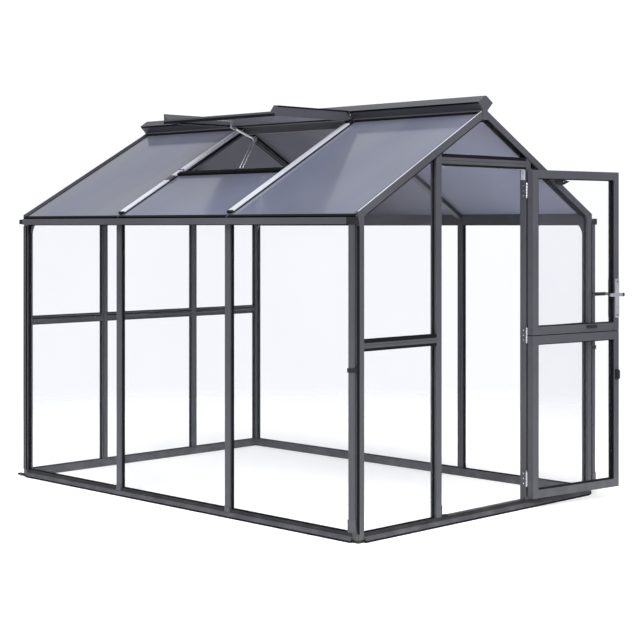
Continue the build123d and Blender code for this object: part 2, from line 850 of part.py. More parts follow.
with BuildPart() as vent_sash_sides:
    for start in (-sash_half, sash_half - sash_rail):
        face = sash_side.offset(start)
        side_view = block(face, 0, sash_length, -sash_thickness / 2, sash_thickness / 2)
        extrude(side_view, amount=sash_rail)
        extrude(disc(face, (0, 0), sash_thickness / 2), amount=sash_rail)
    slot_half = sash_half - sash_rail + groove_depth
    slot = block(
        sash_side.offset(-slot_half),
        sash_rail - groove_depth,
        sash_length - sash_rail + groove_depth,
        -groove_width / 2,
        groove_width / 2,
    )
    extrude(slot, amount=2 * slot_half, mode=Mode.SUBTRACT)
    upstand_start = sash_side.from_local_coords(Vector(upstand_root, sash_thickness / 2, 0))
    across_sash = Plane(origin=upstand_start, x_dir=(0, -1, 0), z_dir=sash_side.x_dir)
    for side in (-1, 1):
        upstand = [
            (side * sash_half, 0),
            (side * sash_half, upstand_height),
            (side * (sash_half - upstand_lip), upstand_height),
            (side * (sash_half - sash_rail), 0),
        ]
        extrude(outline(across_sash, upstand), amount=sash_length - upstand_root)

with BuildPart() as vent_sash_ends:
    end_half = sash_half - sash_rail
    for low in (0, sash_length - sash_rail):
        end_view = block(
            sash_side.offset(-end_half), low, low + sash_rail, -sash_thickness / 2, sash_thickness / 2
        )
        extrude(end_view, amount=2 * end_half)
    extrude(disc(sash_side.offset(-end_half), (0, 0), sash_thickness / 2), amount=2 * end_half)
    slot = block(
        sash_side.offset(-end_half),
        sash_rail - groove_depth,
        sash_length - sash_rail + groove_depth,
        -groove_width / 2,
        groove_width / 2,
    )
    extrude(slot, amount=2 * end_half, mode=Mode.SUBTRACT)

with BuildPart() as vent_pane:
    vent_pane_half = end_half + pane_bite
    sheet = block(
        sash_side.offset(-vent_pane_half),
        sash_rail - pane_bite,
        sash_length - sash_rail + pane_bite,
        -pane_thickness / 2,
        pane_thickness / 2,
    )
    extrude(sheet, amount=2 * vent_pane_half)

# Stay
lug_half = stay_lug_width / 2
fork_inner = lug_half + stay_side_play
fork_outer = fork_inner + stay_fork_wall

with BuildPart() as stay_sash_bracket:
    bracket_low = -sash_thickness / 2 - bracket_thickness
    base_view = block(
        sash_side,
        arm_pivot_reach - stay_eye_radius,
        sash_length - sash_rail / 2,
        bracket_low,
        -sash_thickness / 2,
    )
    extrude(base_view, amount=bracket_width / 2, both=True)
    lug_view = block(
        sash_side,
        arm_pivot_reach - stay_eye_radius,
        arm_pivot_reach + stay_eye_radius,
        -arm_pivot_drop,
        bracket_low,
    )
    extrude(lug_view, amount=lug_half, both=True)
    pivot_place = (arm_pivot_reach, -arm_pivot_drop)
    extrude(disc(sash_side, pivot_place, stay_eye_radius), amount=lug_half, both=True)
    extrude(disc(sash_side, pivot_place, stay_pin_radius), amount=fork_outer, both=True)

arm_side = Plane(origin=arm_pivot, x_dir=knuckle - arm_pivot, z_dir=(0, 1, 0))
rod_side = Plane(origin=rod_pivot, x_dir=knuckle - rod_pivot, z_dir=(0, 1, 0))
fork_length = 2 * stay_eye_radius
fork_bridge = 3 * stay_eye_radius
tube_length = stay_arm_length - knuckle_radius + stay_side_play - fork_length

with BuildPart() as stay_arm:
    fork_view = block(arm_side, 0, fork_bridge, -stay_eye_radius, stay_eye_radius)
    extrude(fork_view, amount=fork_outer, both=True)
    extrude(disc(arm_side, (0, 0), stay_eye_radius), amount=fork_outer, both=True)
    throat = block(arm_side, -fork_length, fork_length, -fork_length, fork_length)
    extrude(throat, amount=fork_inner, both=True, mode=Mode.SUBTRACT)
    tube_start = arm_side.from_local_coords(Vector(fork_length, 0, 0))
    tube_end = disc(Plane(origin=tube_start, z_dir=arm_side.x_dir), (0, 0), stay_tube_radius)
    extrude(tube_end, amount=tube_length)
    extrude(disc(arm_side, (stay_arm_length, 0), knuckle_radius), amount=knuckle_width / 2, both=True)
    slack_radius = stay_pin_radius + knuckle_slack
    slack_hole = disc(arm_side, (stay_arm_length, 0), slack_radius)
    extrude(slack_hole, amount=knuckle_width, both=True, mode=Mode.SUBTRACT)
    pin_hole = disc(arm_side, (0, 0), stay_pin_radius + running_play)
    extrude(pin_hole, amount=2 * fork_outer, both=True, mode=Mode.SUBTRACT)

rod_inner = rod_spread - stay_rod_radius
rod_outer = rod_spread + stay_rod_radius
base_half = rod_inner - stay_side_play

with BuildPart() as stay_base:
    neck = block(
        slope_side,
        rod_pivot_reach,
        crossbar_near,
        -rod_pivot_drop - stay_eye_radius,
        -rod_pivot_drop + stay_eye_radius,
    )
    extrude(neck, amount=base_half, both=True)
    pivot_place = (rod_pivot_reach, -rod_pivot_drop)
    extrude(disc(slope_side, pivot_place, stay_eye_radius), amount=base_half, both=True)
    extrude(disc(slope_side, pivot_place, stay_pin_radius), amount=rod_outer, both=True)

with BuildPart() as stay_rods:
    for start in (-rod_outer, rod_inner):
        rod_eye = disc(rod_side.offset(start), (0, 0), stay_eye_radius)
        extrude(rod_eye, amount=2 * stay_rod_radius)
        knuckle_eye = disc(rod_side.offset(start), (stay_rod_length, 0), stay_eye_radius)
        extrude(knuckle_eye, amount=2 * stay_rod_radius)
    for spread in (-rod_spread, rod_spread):
        rod_start = rod_side.from_local_coords(Vector(0, 0, spread))
        rod_end = disc(Plane(origin=rod_start, z_dir=rod_side.x_dir), (0, 0), stay_rod_radius)
        extrude(rod_end, amount=stay_rod_length)
    rod_hole = disc(rod_side, (0, 0), stay_pin_radius + running_play)
    extrude(rod_hole, amount=2 * rod_outer, both=True, mode=Mode.SUBTRACT)
    extrude(disc(rod_side, (stay_rod_length, 0), stay_pin_radius), amount=rod_outer, both=True)


# Door leaves, standing open beside the doorway
def leaf_groove(low, high, x_low, x_high):
    """Pane groove in a leaf, between two heights and two places along it."""
    slot_low = leaf_pane_middle - groove_width / 2
    slot_high = leaf_pane_middle + groove_width / 2
    slot = block(door.offset(low), x_low, x_high, slot_low, slot_high)
    extrude(slot, amount=high - low, mode=Mode.SUBTRACT)


def leaf_stiles(low, high):
    """The two upright bars of a leaf."""
    for start in (leaf_start, leaf_end - stile_width):
        stile = block(door.offset(low), start, start + stile_width, inner_face, outer_face)
        extrude(stile, amount=high - low)
    leaf_groove(
        low + rail_height - groove_depth,
        high - rail_height + groove_depth,
        leaf_start + stile_width - groove_depth,
        leaf_end - stile_width + groove_depth,
    )


def leaf_rails(low, high):
    """The two level bars of a leaf."""
    for start in (low, high - rail_height):
        rail = block(
            door.offset(start), leaf_start + stile_width, leaf_end - stile_width, inner_face, outer_face
        )
        extrude(rail, amount=rail_height)
    leaf_groove(
        low + rail_height - groove_depth,
        high - rail_height + groove_depth,
        leaf_start + stile_width,
        leaf_end - stile_width,
    )


def leaf_pane(low, high):
    """The pane of a leaf, held in the grooves of its four bars."""
    sheet = block(
        door.offset(low + rail_height - pane_bite),
        leaf_start + stile_width - pane_bite,
        leaf_end - stile_width + pane_bite,
        leaf_pane_middle - pane_thickness / 2,
        leaf_pane_middle + pane_thickness / 2,
    )
    extrude(sheet, amount=high - low - 2 * (rail_height - pane_bite))


leaf_side = Plane(origin=door.origin, x_dir=door.x_dir, z_dir=-door.y_dir)
bolt_middle = (outer_face + inner_face) / 2
catch_level = upper_leaf_bottom + rail_height / 2 + lip_height / 2
catch_face = leaf_side.offset(-inner_face)

with BuildPart() as upper_leaf_stiles:
    leaf_stiles(upper_leaf_bottom, leaf_top)
    bolt_slot = block(
        door.offset(lever_level - bolt_height / 2 - bolt_play),
        free_stile_middle,
        leaf_end,
        bolt_middle - bolt_width / 2 - bolt_play,
        bolt_middle + bolt_width / 2 + bolt_play,
    )
    extrude(bolt_slot, amount=bolt_height + 2 * bolt_play, mode=Mode.SUBTRACT)
    spindle_way = disc(leaf_side, (free_stile_middle, lever_level), spindle_hole_radius)
    extrude(spindle_way, amount=2 * leaf_depth, mode=Mode.SUBTRACT)

with BuildPart() as upper_leaf_rails:
    leaf_rails(upper_leaf_bottom, leaf_top)
    lip_cut = block(
        door.offset(upper_leaf_bottom),
        leaf_start + stile_width,
        leaf_end - stile_width,
        inner_face,
        inner_face + lip_recess,
    )
    extrude(lip_cut, amount=lip_height, mode=Mode.SUBTRACT)
    catch_hole = disc(catch_face, (catch_pivot_reach, catch_level), catch_pin_radius + running_play)
    extrude(catch_hole, amount=-catch_pin_depth - catch_stand_off, mode=Mode.SUBTRACT)

with BuildPart() as upper_leaf_pane:
    leaf_pane(upper_leaf_bottom, leaf_top)

with BuildPart() as lower_leaf_stiles:
    leaf_stiles(leaf_bottom, lower_leaf_top)

with BuildPart() as lower_leaf_rails:
    leaf_rails(leaf_bottom, lower_leaf_top)

with BuildPart() as lower_leaf_pane:
    leaf_pane(leaf_bottom, lower_leaf_top)

# Butt hinges: the middle knuckle and the pin stay on the post
knuckle_height = (hinge_height - 2 * knuckle_play) / 3
hinge_levels = (top_hinge_level, split_height, bottom_hinge_level)
axis_frame = Plane(origin=(hinge_x, hinge_y, 0), x_dir=(-1, 0, 0), z_dir=(0, 0, 1))
post_face = -hinge_gap / 2
flap_back = -barrel_stand_off - flap_depth

with BuildPart() as door_hinges:
    for level in hinge_levels:
        low = level - hinge_height / 2
        flap_face = post_face + flap_thickness
        flap = block(axis_frame.offset(low), post_face, flap_face, flap_back, -barrel_stand_off)
        extrude(flap, amount=hinge_height)
        middle_low = level - knuckle_height / 2
        neck = block(axis_frame.offset(middle_low), post_face, flap_face, -barrel_stand_off, 0)
        extrude(neck, amount=knuckle_height)
        extrude(disc(axis_frame.offset(middle_low), (0, 0), barrel_radius), amount=knuckle_height)
        extrude(disc(axis_frame.offset(low), (0, 0), hinge_pin_radius), amount=hinge_height)


def leaf_knuckle(low):
    """A knuckle that turns with a leaf, and the neck that joins it to its flap."""
    neck = block(door.offset(low), leaf_start - flap_thickness, leaf_start, outer_face, 0)
    extrude(neck, amount=knuckle_height)
    extrude(disc(door.offset(low), (0, 0), barrel_radius), amount=knuckle_height)
    pin_way = disc(door.offset(low), (0, 0), hinge_pin_radius + running_play)
    extrude(pin_way, amount=knuckle_height, mode=Mode.SUBTRACT)


def leaf_flap(low, high):
    """The flat of a hinge on the edge of a leaf."""
    flap_start = leaf_start - flap_thickness
    flap = block(door.offset(low), flap_start, leaf_start, outer_face - flap_depth, outer_face)
    extrude(flap, amount=high - low)


upper_knuckle_rise = hinge_height / 2 - knuckle_height

with BuildPart() as upper_leaf_hinges:
    leaf_flap(top_hinge_level - hinge_height / 2, top_hinge_level + hinge_height / 2)
    leaf_knuckle(top_hinge_level + upper_knuckle_rise)
    leaf_knuckle(top_hinge_level - hinge_height / 2)
    leaf_flap(upper_leaf_bottom, split_height + hinge_height / 2)
    leaf_knuckle(split_height + upper_knuckle_rise)

with BuildPart() as lower_leaf_hinges:
    leaf_flap(split_height - hinge_height / 2, lower_leaf_top)
    leaf_knuckle(split_height - hinge_height / 2)
    leaf_flap(bottom_hinge_level - hinge_height / 2, bottom_hinge_level + hinge_height / 2)
    leaf_knuckle(bottom_hinge_level + upper_knuckle_rise)
    leaf_knuckle(bottom_hinge_level - hinge_height / 2)

# Handle set: a plate and a lever on each face, one spindle, one latch bolt
plate_faces = (leaf_side.offset(-inner_face), leaf_side.offset(-outer_face - plate_thickness))
lever_faces = (-inner_face + plate_thickness, -outer_face - plate_thickness)

with BuildPart() as handle_plates:
    for plate_plane in plate_faces:
        with BuildSketch(plate_plane) as plate:
            with Locations((free_stile_middle, plate_bottom + plate_height / 2)):
                RectangleRounded(plate_width, plate_height, plate_width / 4)
            with Locations((free_stile_middle, lever_level)):
                Circle(spindle_radius + running_play, mode=Mode.SUBTRACT)
            with Locations((free_stile_middle, lever_level - keyhole_drop)):
                Circle(keyhole_radius, mode=Mode.SUBTRACT)
        extrude(plate.sketch, amount=plate_thickness)

with BuildPart() as lever_handle:
    spindle_start = leaf_side.offset(lever_faces[1] - lever_reach + lever_thickness)
    spindle_length = lever_faces[0] - lever_faces[1] + 2 * (lever_reach - lever_thickness)
    extrude(disc(spindle_start, (free_stile_middle, lever_level), spindle_radius), amount=spindle_length)
    neck_gap = running_play + pane_play
    for face, outward in ((lever_faces[0], 1), (lever_faces[1], -1)):
        neck_plane = leaf_side.offset(face + outward * neck_gap)
        neck_disc = disc(neck_plane, (free_stile_middle, lever_level), lever_width / 2)
        extrude(neck_disc, amount=outward * (lever_reach - neck_gap))
        grip_plane = leaf_side.offset(face + outward * (lever_reach - lever_thickness))
        with BuildSketch(grip_plane) as grip:
            with Locations((free_stile_middle - lever_length / 2 + lever_width / 2, lever_level)):
                SlotOverall(lever_length, lever_width)
        extrude(grip.sketch, amount=outward * lever_thickness)

with BuildPart() as latch_bolt:
    bolt = block(
        door.offset(lever_level - bolt_height / 2),
        free_stile_middle + spindle_hole_radius + bolt_throw,
        leaf_end + bolt_reach,
        bolt_middle - bolt_width / 2,
        bolt_middle + bolt_width / 2,
    )
    extrude(bolt, amount=bolt_height)

# Turn catch that ties the two leaves together
with BuildPart() as leaf_catch:
    catch_back = catch_face.offset(catch_stand_off)
    with BuildSketch(catch_back) as catch_bar:
        with Locations((catch_pivot_reach + catch_length / 2 - catch_height / 2, catch_level)):
            SlotOverall(catch_length, catch_height)
    extrude(catch_bar.sketch, amount=catch_thickness)
    catch_pin = disc(catch_back, (catch_pivot_reach, catch_level), catch_pin_radius)
    extrude(catch_pin, amount=-catch_pin_depth)

# Turn latch on the lower leaf
latch_base_middle = latch_level - latch_length / 2 + latch_width / 2
latch_face = catch_face.offset(latch_base_thickness)

with BuildPart() as lower_latch_base:
    with BuildSketch(catch_face) as base:
        with Locations((free_stile_middle, latch_base_middle)):
            RectangleRounded(latch_base_width, latch_base_height, latch_base_width / 4)
        with Locations((free_stile_middle, latch_level)):
            Circle(latch_pin_radius + running_play, mode=Mode.SUBTRACT)
    extrude(base.sketch, amount=latch_base_thickness)

with BuildPart() as lower_latch:
    tongue_back = latch_face.offset(catch_stand_off)
    with BuildSketch(tongue_back) as tongue:
        with Locations((free_stile_middle, latch_base_middle)):
            SlotOverall(latch_length, latch_width, rotation=90)
    extrude(tongue.sketch, amount=latch_thickness)
    latch_pin = disc(tongue_back, (free_stile_middle, latch_level), latch_pin_radius)
    extrude(latch_pin, amount=pin_end_play - catch_stand_off - latch_base_thickness)

# Corner guide at the foot of the left door post
with BuildPart() as door_guide:
    post_edge = -doorway_width / 2
    guide_points = [
        (-post_edge, sill_height),
        (-post_edge, sill_height + guide_rise),
        (-post_edge - guide_wall, sill_height + guide_rise),
        (-post_edge - guide_wall, sill_height + guide_foot),
        (-post_edge - guide_length, sill_height + guide_foot),
        (-post_edge - guide_length, sill_height),
    ]
    extrude(outline(cross_house(-half_length + guide_setback), guide_points), amount=guide_depth)

# Catch plate on the right front rafter
with BuildPart() as door_catch:
    door_catch_start = half_width - door_catch_inset
    catch_top = roof_height(door_catch_start)
    with BuildSketch(cross_house(-half_length - door_catch_thickness)) as catch_plate:
        with BuildLine():
            Polyline(
                (-door_catch_start, catch_top),
                (-door_catch_start - door_catch_length, catch_top - door_catch_height / 2),
                (-door_catch_start - door_catch_length / 2, catch_top - door_catch_height),
                (-door_catch_start, catch_top - door_catch_height),
                close=True,
            )
        make_face()
        with Locations((-door_catch_start - door_catch_length / 2, catch_top - door_catch_height / 2)):
            Circle(door_catch_hole_radius, mode=Mode.SUBTRACT)
    extrude(catch_plate.sketch, amount=door_catch_thickness)

pieces = {
    "sill_front": sill_front,
    "sill_back": sill_back,
    "sill_left": sill_left,
    "sill_right": sill_right,
    "corner_feet": corner_feet,
    "corner_posts": corner_posts,
    "side_posts_left": side_posts_left,
    "side_posts_right": side_posts_right,
    "door_post_left": door_post_left,
    "door_post_right": door_post_right,
    "back_posts": back_posts,
    "front_mid_rails": front_mid_rails,
    "back_mid_rails": back_mid_rails,
    "door_header": door_header,
    "header_brackets": header_brackets,
    "eave_beam_left": eave_beam_left,
    "eave_beam_right": eave_beam_right,
    "gutters": gutters,
    "gutter_outlets": gutter_outlets,
    "gutter_end_caps": gutter_end_caps,
    "downpipes": downpipes,
    "downpipe_clips": downpipe_clips,
    "corner_gussets": corner_gussets,
    "gable_rafters": gable_rafters,
    "roof_bars": roof_bars,
    "bar_caps": bar_caps,
    "ridge_beam": ridge_beam,
    "ridge_end_plates": ridge_end_plates,
    "roof_panes_left": roof_panes_left,
    "roof_panes_right": roof_panes_right,
    "wall_panes": wall_panes,
    "gable_panes_front": gable_panes_front,
    "gable_panes_back": gable_panes_back,
    "vent_crossbar": vent_crossbar,
    "vent_hinge_ears": vent_hinge_ears,
    "vent_hinge_pins": vent_hinge_pins,
    "vent_sash_sides": vent_sash_sides,
    "vent_sash_ends": vent_sash_ends,
    "vent_pane": vent_pane,
    "stay_sash_bracket": stay_sash_bracket,
    "stay_arm": stay_arm,
    "stay_base": stay_base,
    "stay_rods": stay_rods,
    "upper_leaf_stiles": upper_leaf_stiles,
    "upper_leaf_rails": upper_leaf_rails,
    "upper_leaf_pane": upper_leaf_pane,
    "lower_leaf_stiles": lower_leaf_stiles,
    "lower_leaf_rails": lower_leaf_rails,
    "lower_leaf_pane": lower_leaf_pane,
    "door_hinges": door_hinges,
    "upper_leaf_hinges": upper_leaf_hinges,
    "lower_leaf_hinges": lower_leaf_hinges,
    "handle_plates": handle_plates,
    "lever_handle": lever_handle,
    "latch_bolt": latch_bolt,
    "leaf_catch": leaf_catch,
    "lower_latch_base": lower_latch_base,
    "lower_latch": lower_latch,
    "door_guide": door_guide,
    "door_catch": door_catch,
}

os.makedirs("parts", exist_ok=True)
for name, piece in pieces.items():
    piece.part.label = name
    export_step(piece.part, f"parts/{name}.step")
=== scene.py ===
import json
import math

import bmesh
import bpy
from bpy.props import FloatProperty, FloatVectorProperty, PointerProperty
from mathutils import Matrix, Vector

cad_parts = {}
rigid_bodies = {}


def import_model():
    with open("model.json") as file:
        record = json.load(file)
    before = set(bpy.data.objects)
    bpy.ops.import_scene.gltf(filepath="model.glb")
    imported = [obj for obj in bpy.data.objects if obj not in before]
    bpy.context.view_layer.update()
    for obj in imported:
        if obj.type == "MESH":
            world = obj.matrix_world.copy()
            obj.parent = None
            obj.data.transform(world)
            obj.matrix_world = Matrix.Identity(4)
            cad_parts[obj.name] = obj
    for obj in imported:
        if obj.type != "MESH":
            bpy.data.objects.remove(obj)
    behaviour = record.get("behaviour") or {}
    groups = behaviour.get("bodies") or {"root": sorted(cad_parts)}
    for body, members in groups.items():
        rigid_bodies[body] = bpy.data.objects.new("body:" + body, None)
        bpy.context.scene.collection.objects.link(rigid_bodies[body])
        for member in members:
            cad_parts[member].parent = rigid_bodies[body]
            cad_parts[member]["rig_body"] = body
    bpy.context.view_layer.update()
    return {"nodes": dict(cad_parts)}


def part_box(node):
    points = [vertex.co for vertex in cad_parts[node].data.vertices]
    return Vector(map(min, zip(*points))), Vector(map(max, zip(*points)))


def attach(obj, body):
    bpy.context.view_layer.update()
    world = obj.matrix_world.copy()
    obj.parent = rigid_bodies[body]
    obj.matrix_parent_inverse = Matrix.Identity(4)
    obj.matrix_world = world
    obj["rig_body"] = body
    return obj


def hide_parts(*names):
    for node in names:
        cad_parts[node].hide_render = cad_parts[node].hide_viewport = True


bl_info = {
    "name": "Greenhouse dresser",
    "version": (1, 0, 0),
    "blender": (4, 5, 0),
    "location": "View3D > Sidebar > Greenhouse",
    "description": "Dresses the greenhouse frame with finishes, seals, screws and a studio",
    "category": "Object",
}

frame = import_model()
nodes = frame["nodes"]

# The house, in metres
post_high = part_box("corner_posts")[1]
HALF_WIDTH, HALF_LENGTH = post_high.x, post_high.y
rail_low, rail_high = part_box("front_mid_rails")
header_low, header_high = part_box("door_header")
UP = Vector((0, 0, 1))
LEFT, RIGHT = Vector((-1, 0, 0)), Vector((1, 0, 0))
FRONT, BACK = Vector((0, -1, 0)), Vector((0, 1, 0))
SIDES = (-1, 1)
CORNERS = tuple((side, end) for side in SIDES for end in SIDES)
WALLS = ((LEFT, HALF_LENGTH), (RIGHT, HALF_LENGTH), (FRONT, HALF_WIDTH), (BACK, HALF_WIDTH))
PITCH = math.radians(29.5)
ROOF_FOOT = 1.5569
RIDGE_LINE = ROOF_FOOT + HALF_WIDTH * math.tan(PITCH)
BAY = 0.90333
BAR = 0.04
DOORWAY_HALF = 0.3425
PANE_BITE = 0.007
PANE_SETBACK = 0.018
CORNER_NOTCH = 0.006
SKIN = 0.0008

# The roof: heights are measured out of the roof plane, reaches across the house from the ridge
PANE_TOP = -0.012
ROOF_SHEET = 0.006
CAP_WIDTH = 0.04
CAP_TOP = 0.002
CAP_UNDERSIDE = -0.006
CAP_SEAT_INSET = 0.003
CAP_HEAD, CAP_FOOT = 0.026, 0.923
PANE_HEAD, PANE_FOOT = 0.019, 0.947
CROSSBAR_HEAD, CROSSBAR_FOOT, CROSSBAR_TOP = 0.5149, 0.5393, 0.004
LIP_WIDTH = 0.01
BAR_LINES = (-BAY / 2, BAY / 2)
PANE_SPANS = ((-1.364, -0.4577), (-0.4457, 0.4457), (0.4577, 1.364))
SASH_HALF = 0.45867

# The open door: hinge line, the way along the leaf and the way towards its outer face
HINGE_LINE = Vector((0.3405, -1.3805, 0))
DOOR_TURN = math.radians(7.5)
LEAF_ALONG = Vector((math.cos(DOOR_TURN), -math.sin(DOOR_TURN), 0))
LEAF_OUT = Vector((math.sin(DOOR_TURN), math.cos(DOOR_TURN), 0))
LEAF_INNER_FACE = -0.0455
LEAF_OUTER_FACE = -0.0055
FREE_STILE = 0.651
PLATE_THICKNESS = 0.007

# Meshes
MERGE_DISTANCE = 1e-5
FLAT_ANGLE = 0.02
BROAD_AREA = 0.02
SMOOTH_ANGLE = math.radians(35)
ROUND_SEGMENTS = 2
SHADING_WEIGHT = 90
SCREW_SEGMENTS, ROD_SEGMENTS = 12, 16


def length_property(name, description, default, low, high):
    """A length in metres, for the sidebar."""
    return FloatProperty(
        name=name, description=description, default=default, min=low, max=high,
        unit="LENGTH", precision=5,
    )


def colour_property(name, description, default):
    """A colour, for the sidebar."""
    return FloatVectorProperty(
        name=name, description=description, default=default, subtype="COLOR", size=3, min=0, max=1
    )


class GreenhouseSizes(bpy.types.PropertyGroup):
    """Sizes of the dressed details"""

    edge_round: length_property(
        "Bar edge rounding", "Width of the rounded edges on the coated bars", 0.0011, 0.0002, 0.003
    )
    fitting_round: length_property(
        "Fitting edge rounding", "Width of the rounded edges on small fittings",
        0.0005, 0.0001, 0.002,
    )
    bead_width: length_property(
        "Glazing bead width", "How far a glazing bead covers the pane", 0.0042, 0.001, 0.015
    )
    wall_bead_height: length_property(
        "Wall bead height", "How far a bead stands out from a wall or gable pane",
        0.008, 0.002, 0.017,
    )
    leaf_bead_height: length_property(
        "Door bead height", "How far a bead stands out from a door pane", 0.015, 0.002, 0.017
    )
    slim_bead_height: length_property(
        "Slim bead height", "How far a bead stands out behind a pane in a slim post",
        0.0036, 0.001, 0.004,
    )
    vent_bead_height: length_property(
        "Vent bead height", "How far the bead stands out from the vent pane", 0.005, 0.002, 0.009
    )
    post_depth: length_property(
        "Slim bar depth", "Depth of the posts and rails between the corners", 0.026, 0.024, 0.04
    )
    line_width: length_property(
        "Line width", "Width of the line along the inner face of a slim bar", 0.0075, 0.001, 0.01
    )
    line_depth: length_property(
        "Line depth", "Depth of the line along the inner face of a slim bar", 0.0025, 0.0005, 0.003
    )
    screw_radius: length_property(
        "Screw head radius", "Radius of the screw heads", 0.0042, 0.002, 0.008
    )
    screw_height: length_property(
        "Screw head height", "How far a screw head stands out", 0.0022, 0.0005, 0.004
    )
    knuckle_radius: length_property(
        "Hinge knuckle radius", "Radius of the bright knuckles on the door hinges",
        0.0051, 0.005, 0.008,
    )
    sleeve_radius: length_property(
        "Stay sleeve", "Radius of the sleeve over the stay tube", 0.0085, 0.006, 0.0095
    )
    gasket_width: length_property(
        "Cap gasket width", "How far the rubber shows beside a roof bar cap", 0.0032, 0.001, 0.008
    )


class GreenhouseFinishes(bpy.types.PropertyGroup):
    """Colours of the finishes"""

    coat: colour_property("Powder coat", "Colour of the coated bars", (0.050, 0.051, 0.060))
    cap: colour_property("Cap", "Colour of the roof bar caps", (0.55, 0.56, 0.62))
    clear_pane: colour_property(
        "Clear pane", "Tint of the wall and gable panes", (0.17, 0.175, 0.21)
    )
    smoked_pane: colour_property("Smoked sheet", "Colour of the roof sheets", (0.105, 0.112, 0.155))
    moulding: colour_property(
        "Moulded plastic", "Colour of the black mouldings", (0.008, 0.008, 0.009)
    )
    rubber: colour_property("Rubber", "Colour of beads and gaskets", (0.004, 0.004, 0.005))
    steel: colour_property("Steel", "Colour of hinges and handle", (0.62, 0.62, 0.65))
    stay: colour_property("Stay", "Colour of the vent stay", (0.48, 0.48, 0.50))
    floor: colour_property("Floor", "Colour of the studio floor", (0.93, 0.93, 0.93))


# Shader groups and materials
def shared_group(name, inputs, outputs):
    """An empty shader group with number inputs and outputs, and its two end nodes."""
    group = bpy.data.node_groups.new(name, "ShaderNodeTree")
    for label, value in inputs:
        socket = group.interface.new_socket(label, in_out="INPUT", socket_type="NodeSocketFloat")
        socket.default_value = value
    for label in outputs:
        group.interface.new_socket(label, in_out="OUTPUT", socket_type="NodeSocketFloat")
    return group, group.nodes.new("NodeGroupInput"), group.nodes.new("NodeGroupOutput")


def set_inputs(tree, node, values):
    """Sets a node's inputs, or links them where the value comes from another node."""
    for label, value in values.items():
        if isinstance(value, bpy.types.NodeSocket):
            tree.links.new(value, node.inputs[label])
        else:
            node.inputs[label].default_value = value


def add_node(tree, kind, values, **settings):
    """A new node with its settings and inputs."""
    node = tree.nodes.new(kind)
    for name, value in settings.items():
        setattr(node, name, value)
    set_inputs(tree, node, values)
    return node


def add_noise(tree, place, scale, detail):
    """A noise texture that reads a place."""
    values = {"Detail": detail, "Vector": place, "Scale": scale}
    return add_node(tree, "ShaderNodeTexNoise", values).outputs["Fac"]


def add_range(tree, value, low, high, from_low=0.3, from_high=0.7):
    """Maps a value that changes over the surface to a new range."""
    values = {
        "Value": value, "From Min": from_low, "From Max": from_high, "To Min": low, "To Max": high,
    }
    return add_node(tree, "ShaderNodeMapRange", values).outputs["Result"]


def add_math(tree, operation, first, second):
    """A sum, product or other result of two values."""
    node = add_node(tree, "ShaderNodeMath", {0: first, 1: second}, operation=operation)
    return node.outputs["Value"]


def add_stretch(tree, place, factors):
    """A place stretched by its own factor along each axis."""
    node = add_node(tree, "ShaderNodeVectorMath", {0: place, 1: factors}, operation="MULTIPLY")
    return node.outputs["Vector"]


def add_axis(tree, vector, axis):
    """One axis of a place or a normal."""
    return add_node(tree, "ShaderNodeSeparateXYZ", {"Vector": vector}).outputs[axis]


def add_mix(tree, mask, under, over):
    """Mixes two fixed or linked colours by a mask that changes over the surface."""
    values = {0: mask, 6: under, 7: over}
    return add_node(tree, "ShaderNodeMix", values, data_type="RGBA").outputs[2]


def add_bump(tree, height, strength, distance):
    """A normal that raises the surface by a height that changes over it."""
    values = {"Strength": strength, "Distance": distance, "Height": height}
    return add_node(tree, "ShaderNodeBump", values).outputs["Normal"]


def add_group(tree, group, **values):
    """Places a shared group with its own values."""
    named = {label.replace("_", " ").title(): value for label, value in values.items()}
    return add_node(tree, "ShaderNodeGroup", named, node_tree=group)


def object_place(tree):
    """The place on the object."""
    return tree.nodes.new("ShaderNodeTexCoord").outputs["Object"]


def tint(colour, factor):
    """A lighter or darker version of a colour, with full opacity."""
    return tuple(min(1.0, channel * factor) for channel in colour) + (1.0,)


def add_tone(tree, detail, colour, dark, light):
    """A colour that drifts slowly between a darker and a lighter version."""
    drift = add_range(tree, detail.outputs["Drift"], 0, 1)
    return add_mix(tree, drift, tint(colour, dark), tint(colour, light))


def make_surface_group():
    """Broad drift, fine grain and dust that settles low down, shared by every finish."""
    group, start, end = shared_group(
        "Surface detail",
        (("Drift Scale", 2.0), ("Grain Scale", 900.0), ("Dust Height", 0.25)),
        ("Drift", "Grain", "Dust"),
    )
    place = object_place(group)
    drift = add_noise(group, place, start.outputs["Drift Scale"], 4)
    grain = add_noise(group, place, start.outputs["Grain Scale"], 2)
    fall = add_math(group, "DIVIDE", add_axis(group, place, "Z"), start.outputs["Dust Height"])
    near_ground = add_range(group, fall, 1, 0, 0, 1)
    patches = add_range(group, add_noise(group, place, 14, 6), 0, 1, 0.4, 0.75)
    dust = add_math(group, "MULTIPLY", near_ground, patches)
    set_inputs(group, end, {"Drift": drift, "Grain": grain, "Dust": dust})
    return group


def make_brush_group():
    """Fine lines drawn along one direction, for brushed metal and extruded bars."""
    inputs = (("Across", 1200.0), ("Along", 12.0))
    group, start, end = shared_group("Drawn lines", inputs, ("Lines",))
    across, along = start.outputs["Across"], start.outputs["Along"]
    factors = add_node(group, "ShaderNodeCombineXYZ", {"X": across, "Y": across, "Z": along})
    place = add_stretch(group, object_place(group), factors.outputs["Vector"])
    set_inputs(group, end, {"Lines": add_noise(group, place, 1, 3)})
    return group


def new_material(name):
    """A node material with its shader, ready for its own links."""
    material = bpy.data.materials.new(name)
    material.use_nodes = True
    return material, material.node_tree, material.node_tree.nodes["Principled BSDF"]


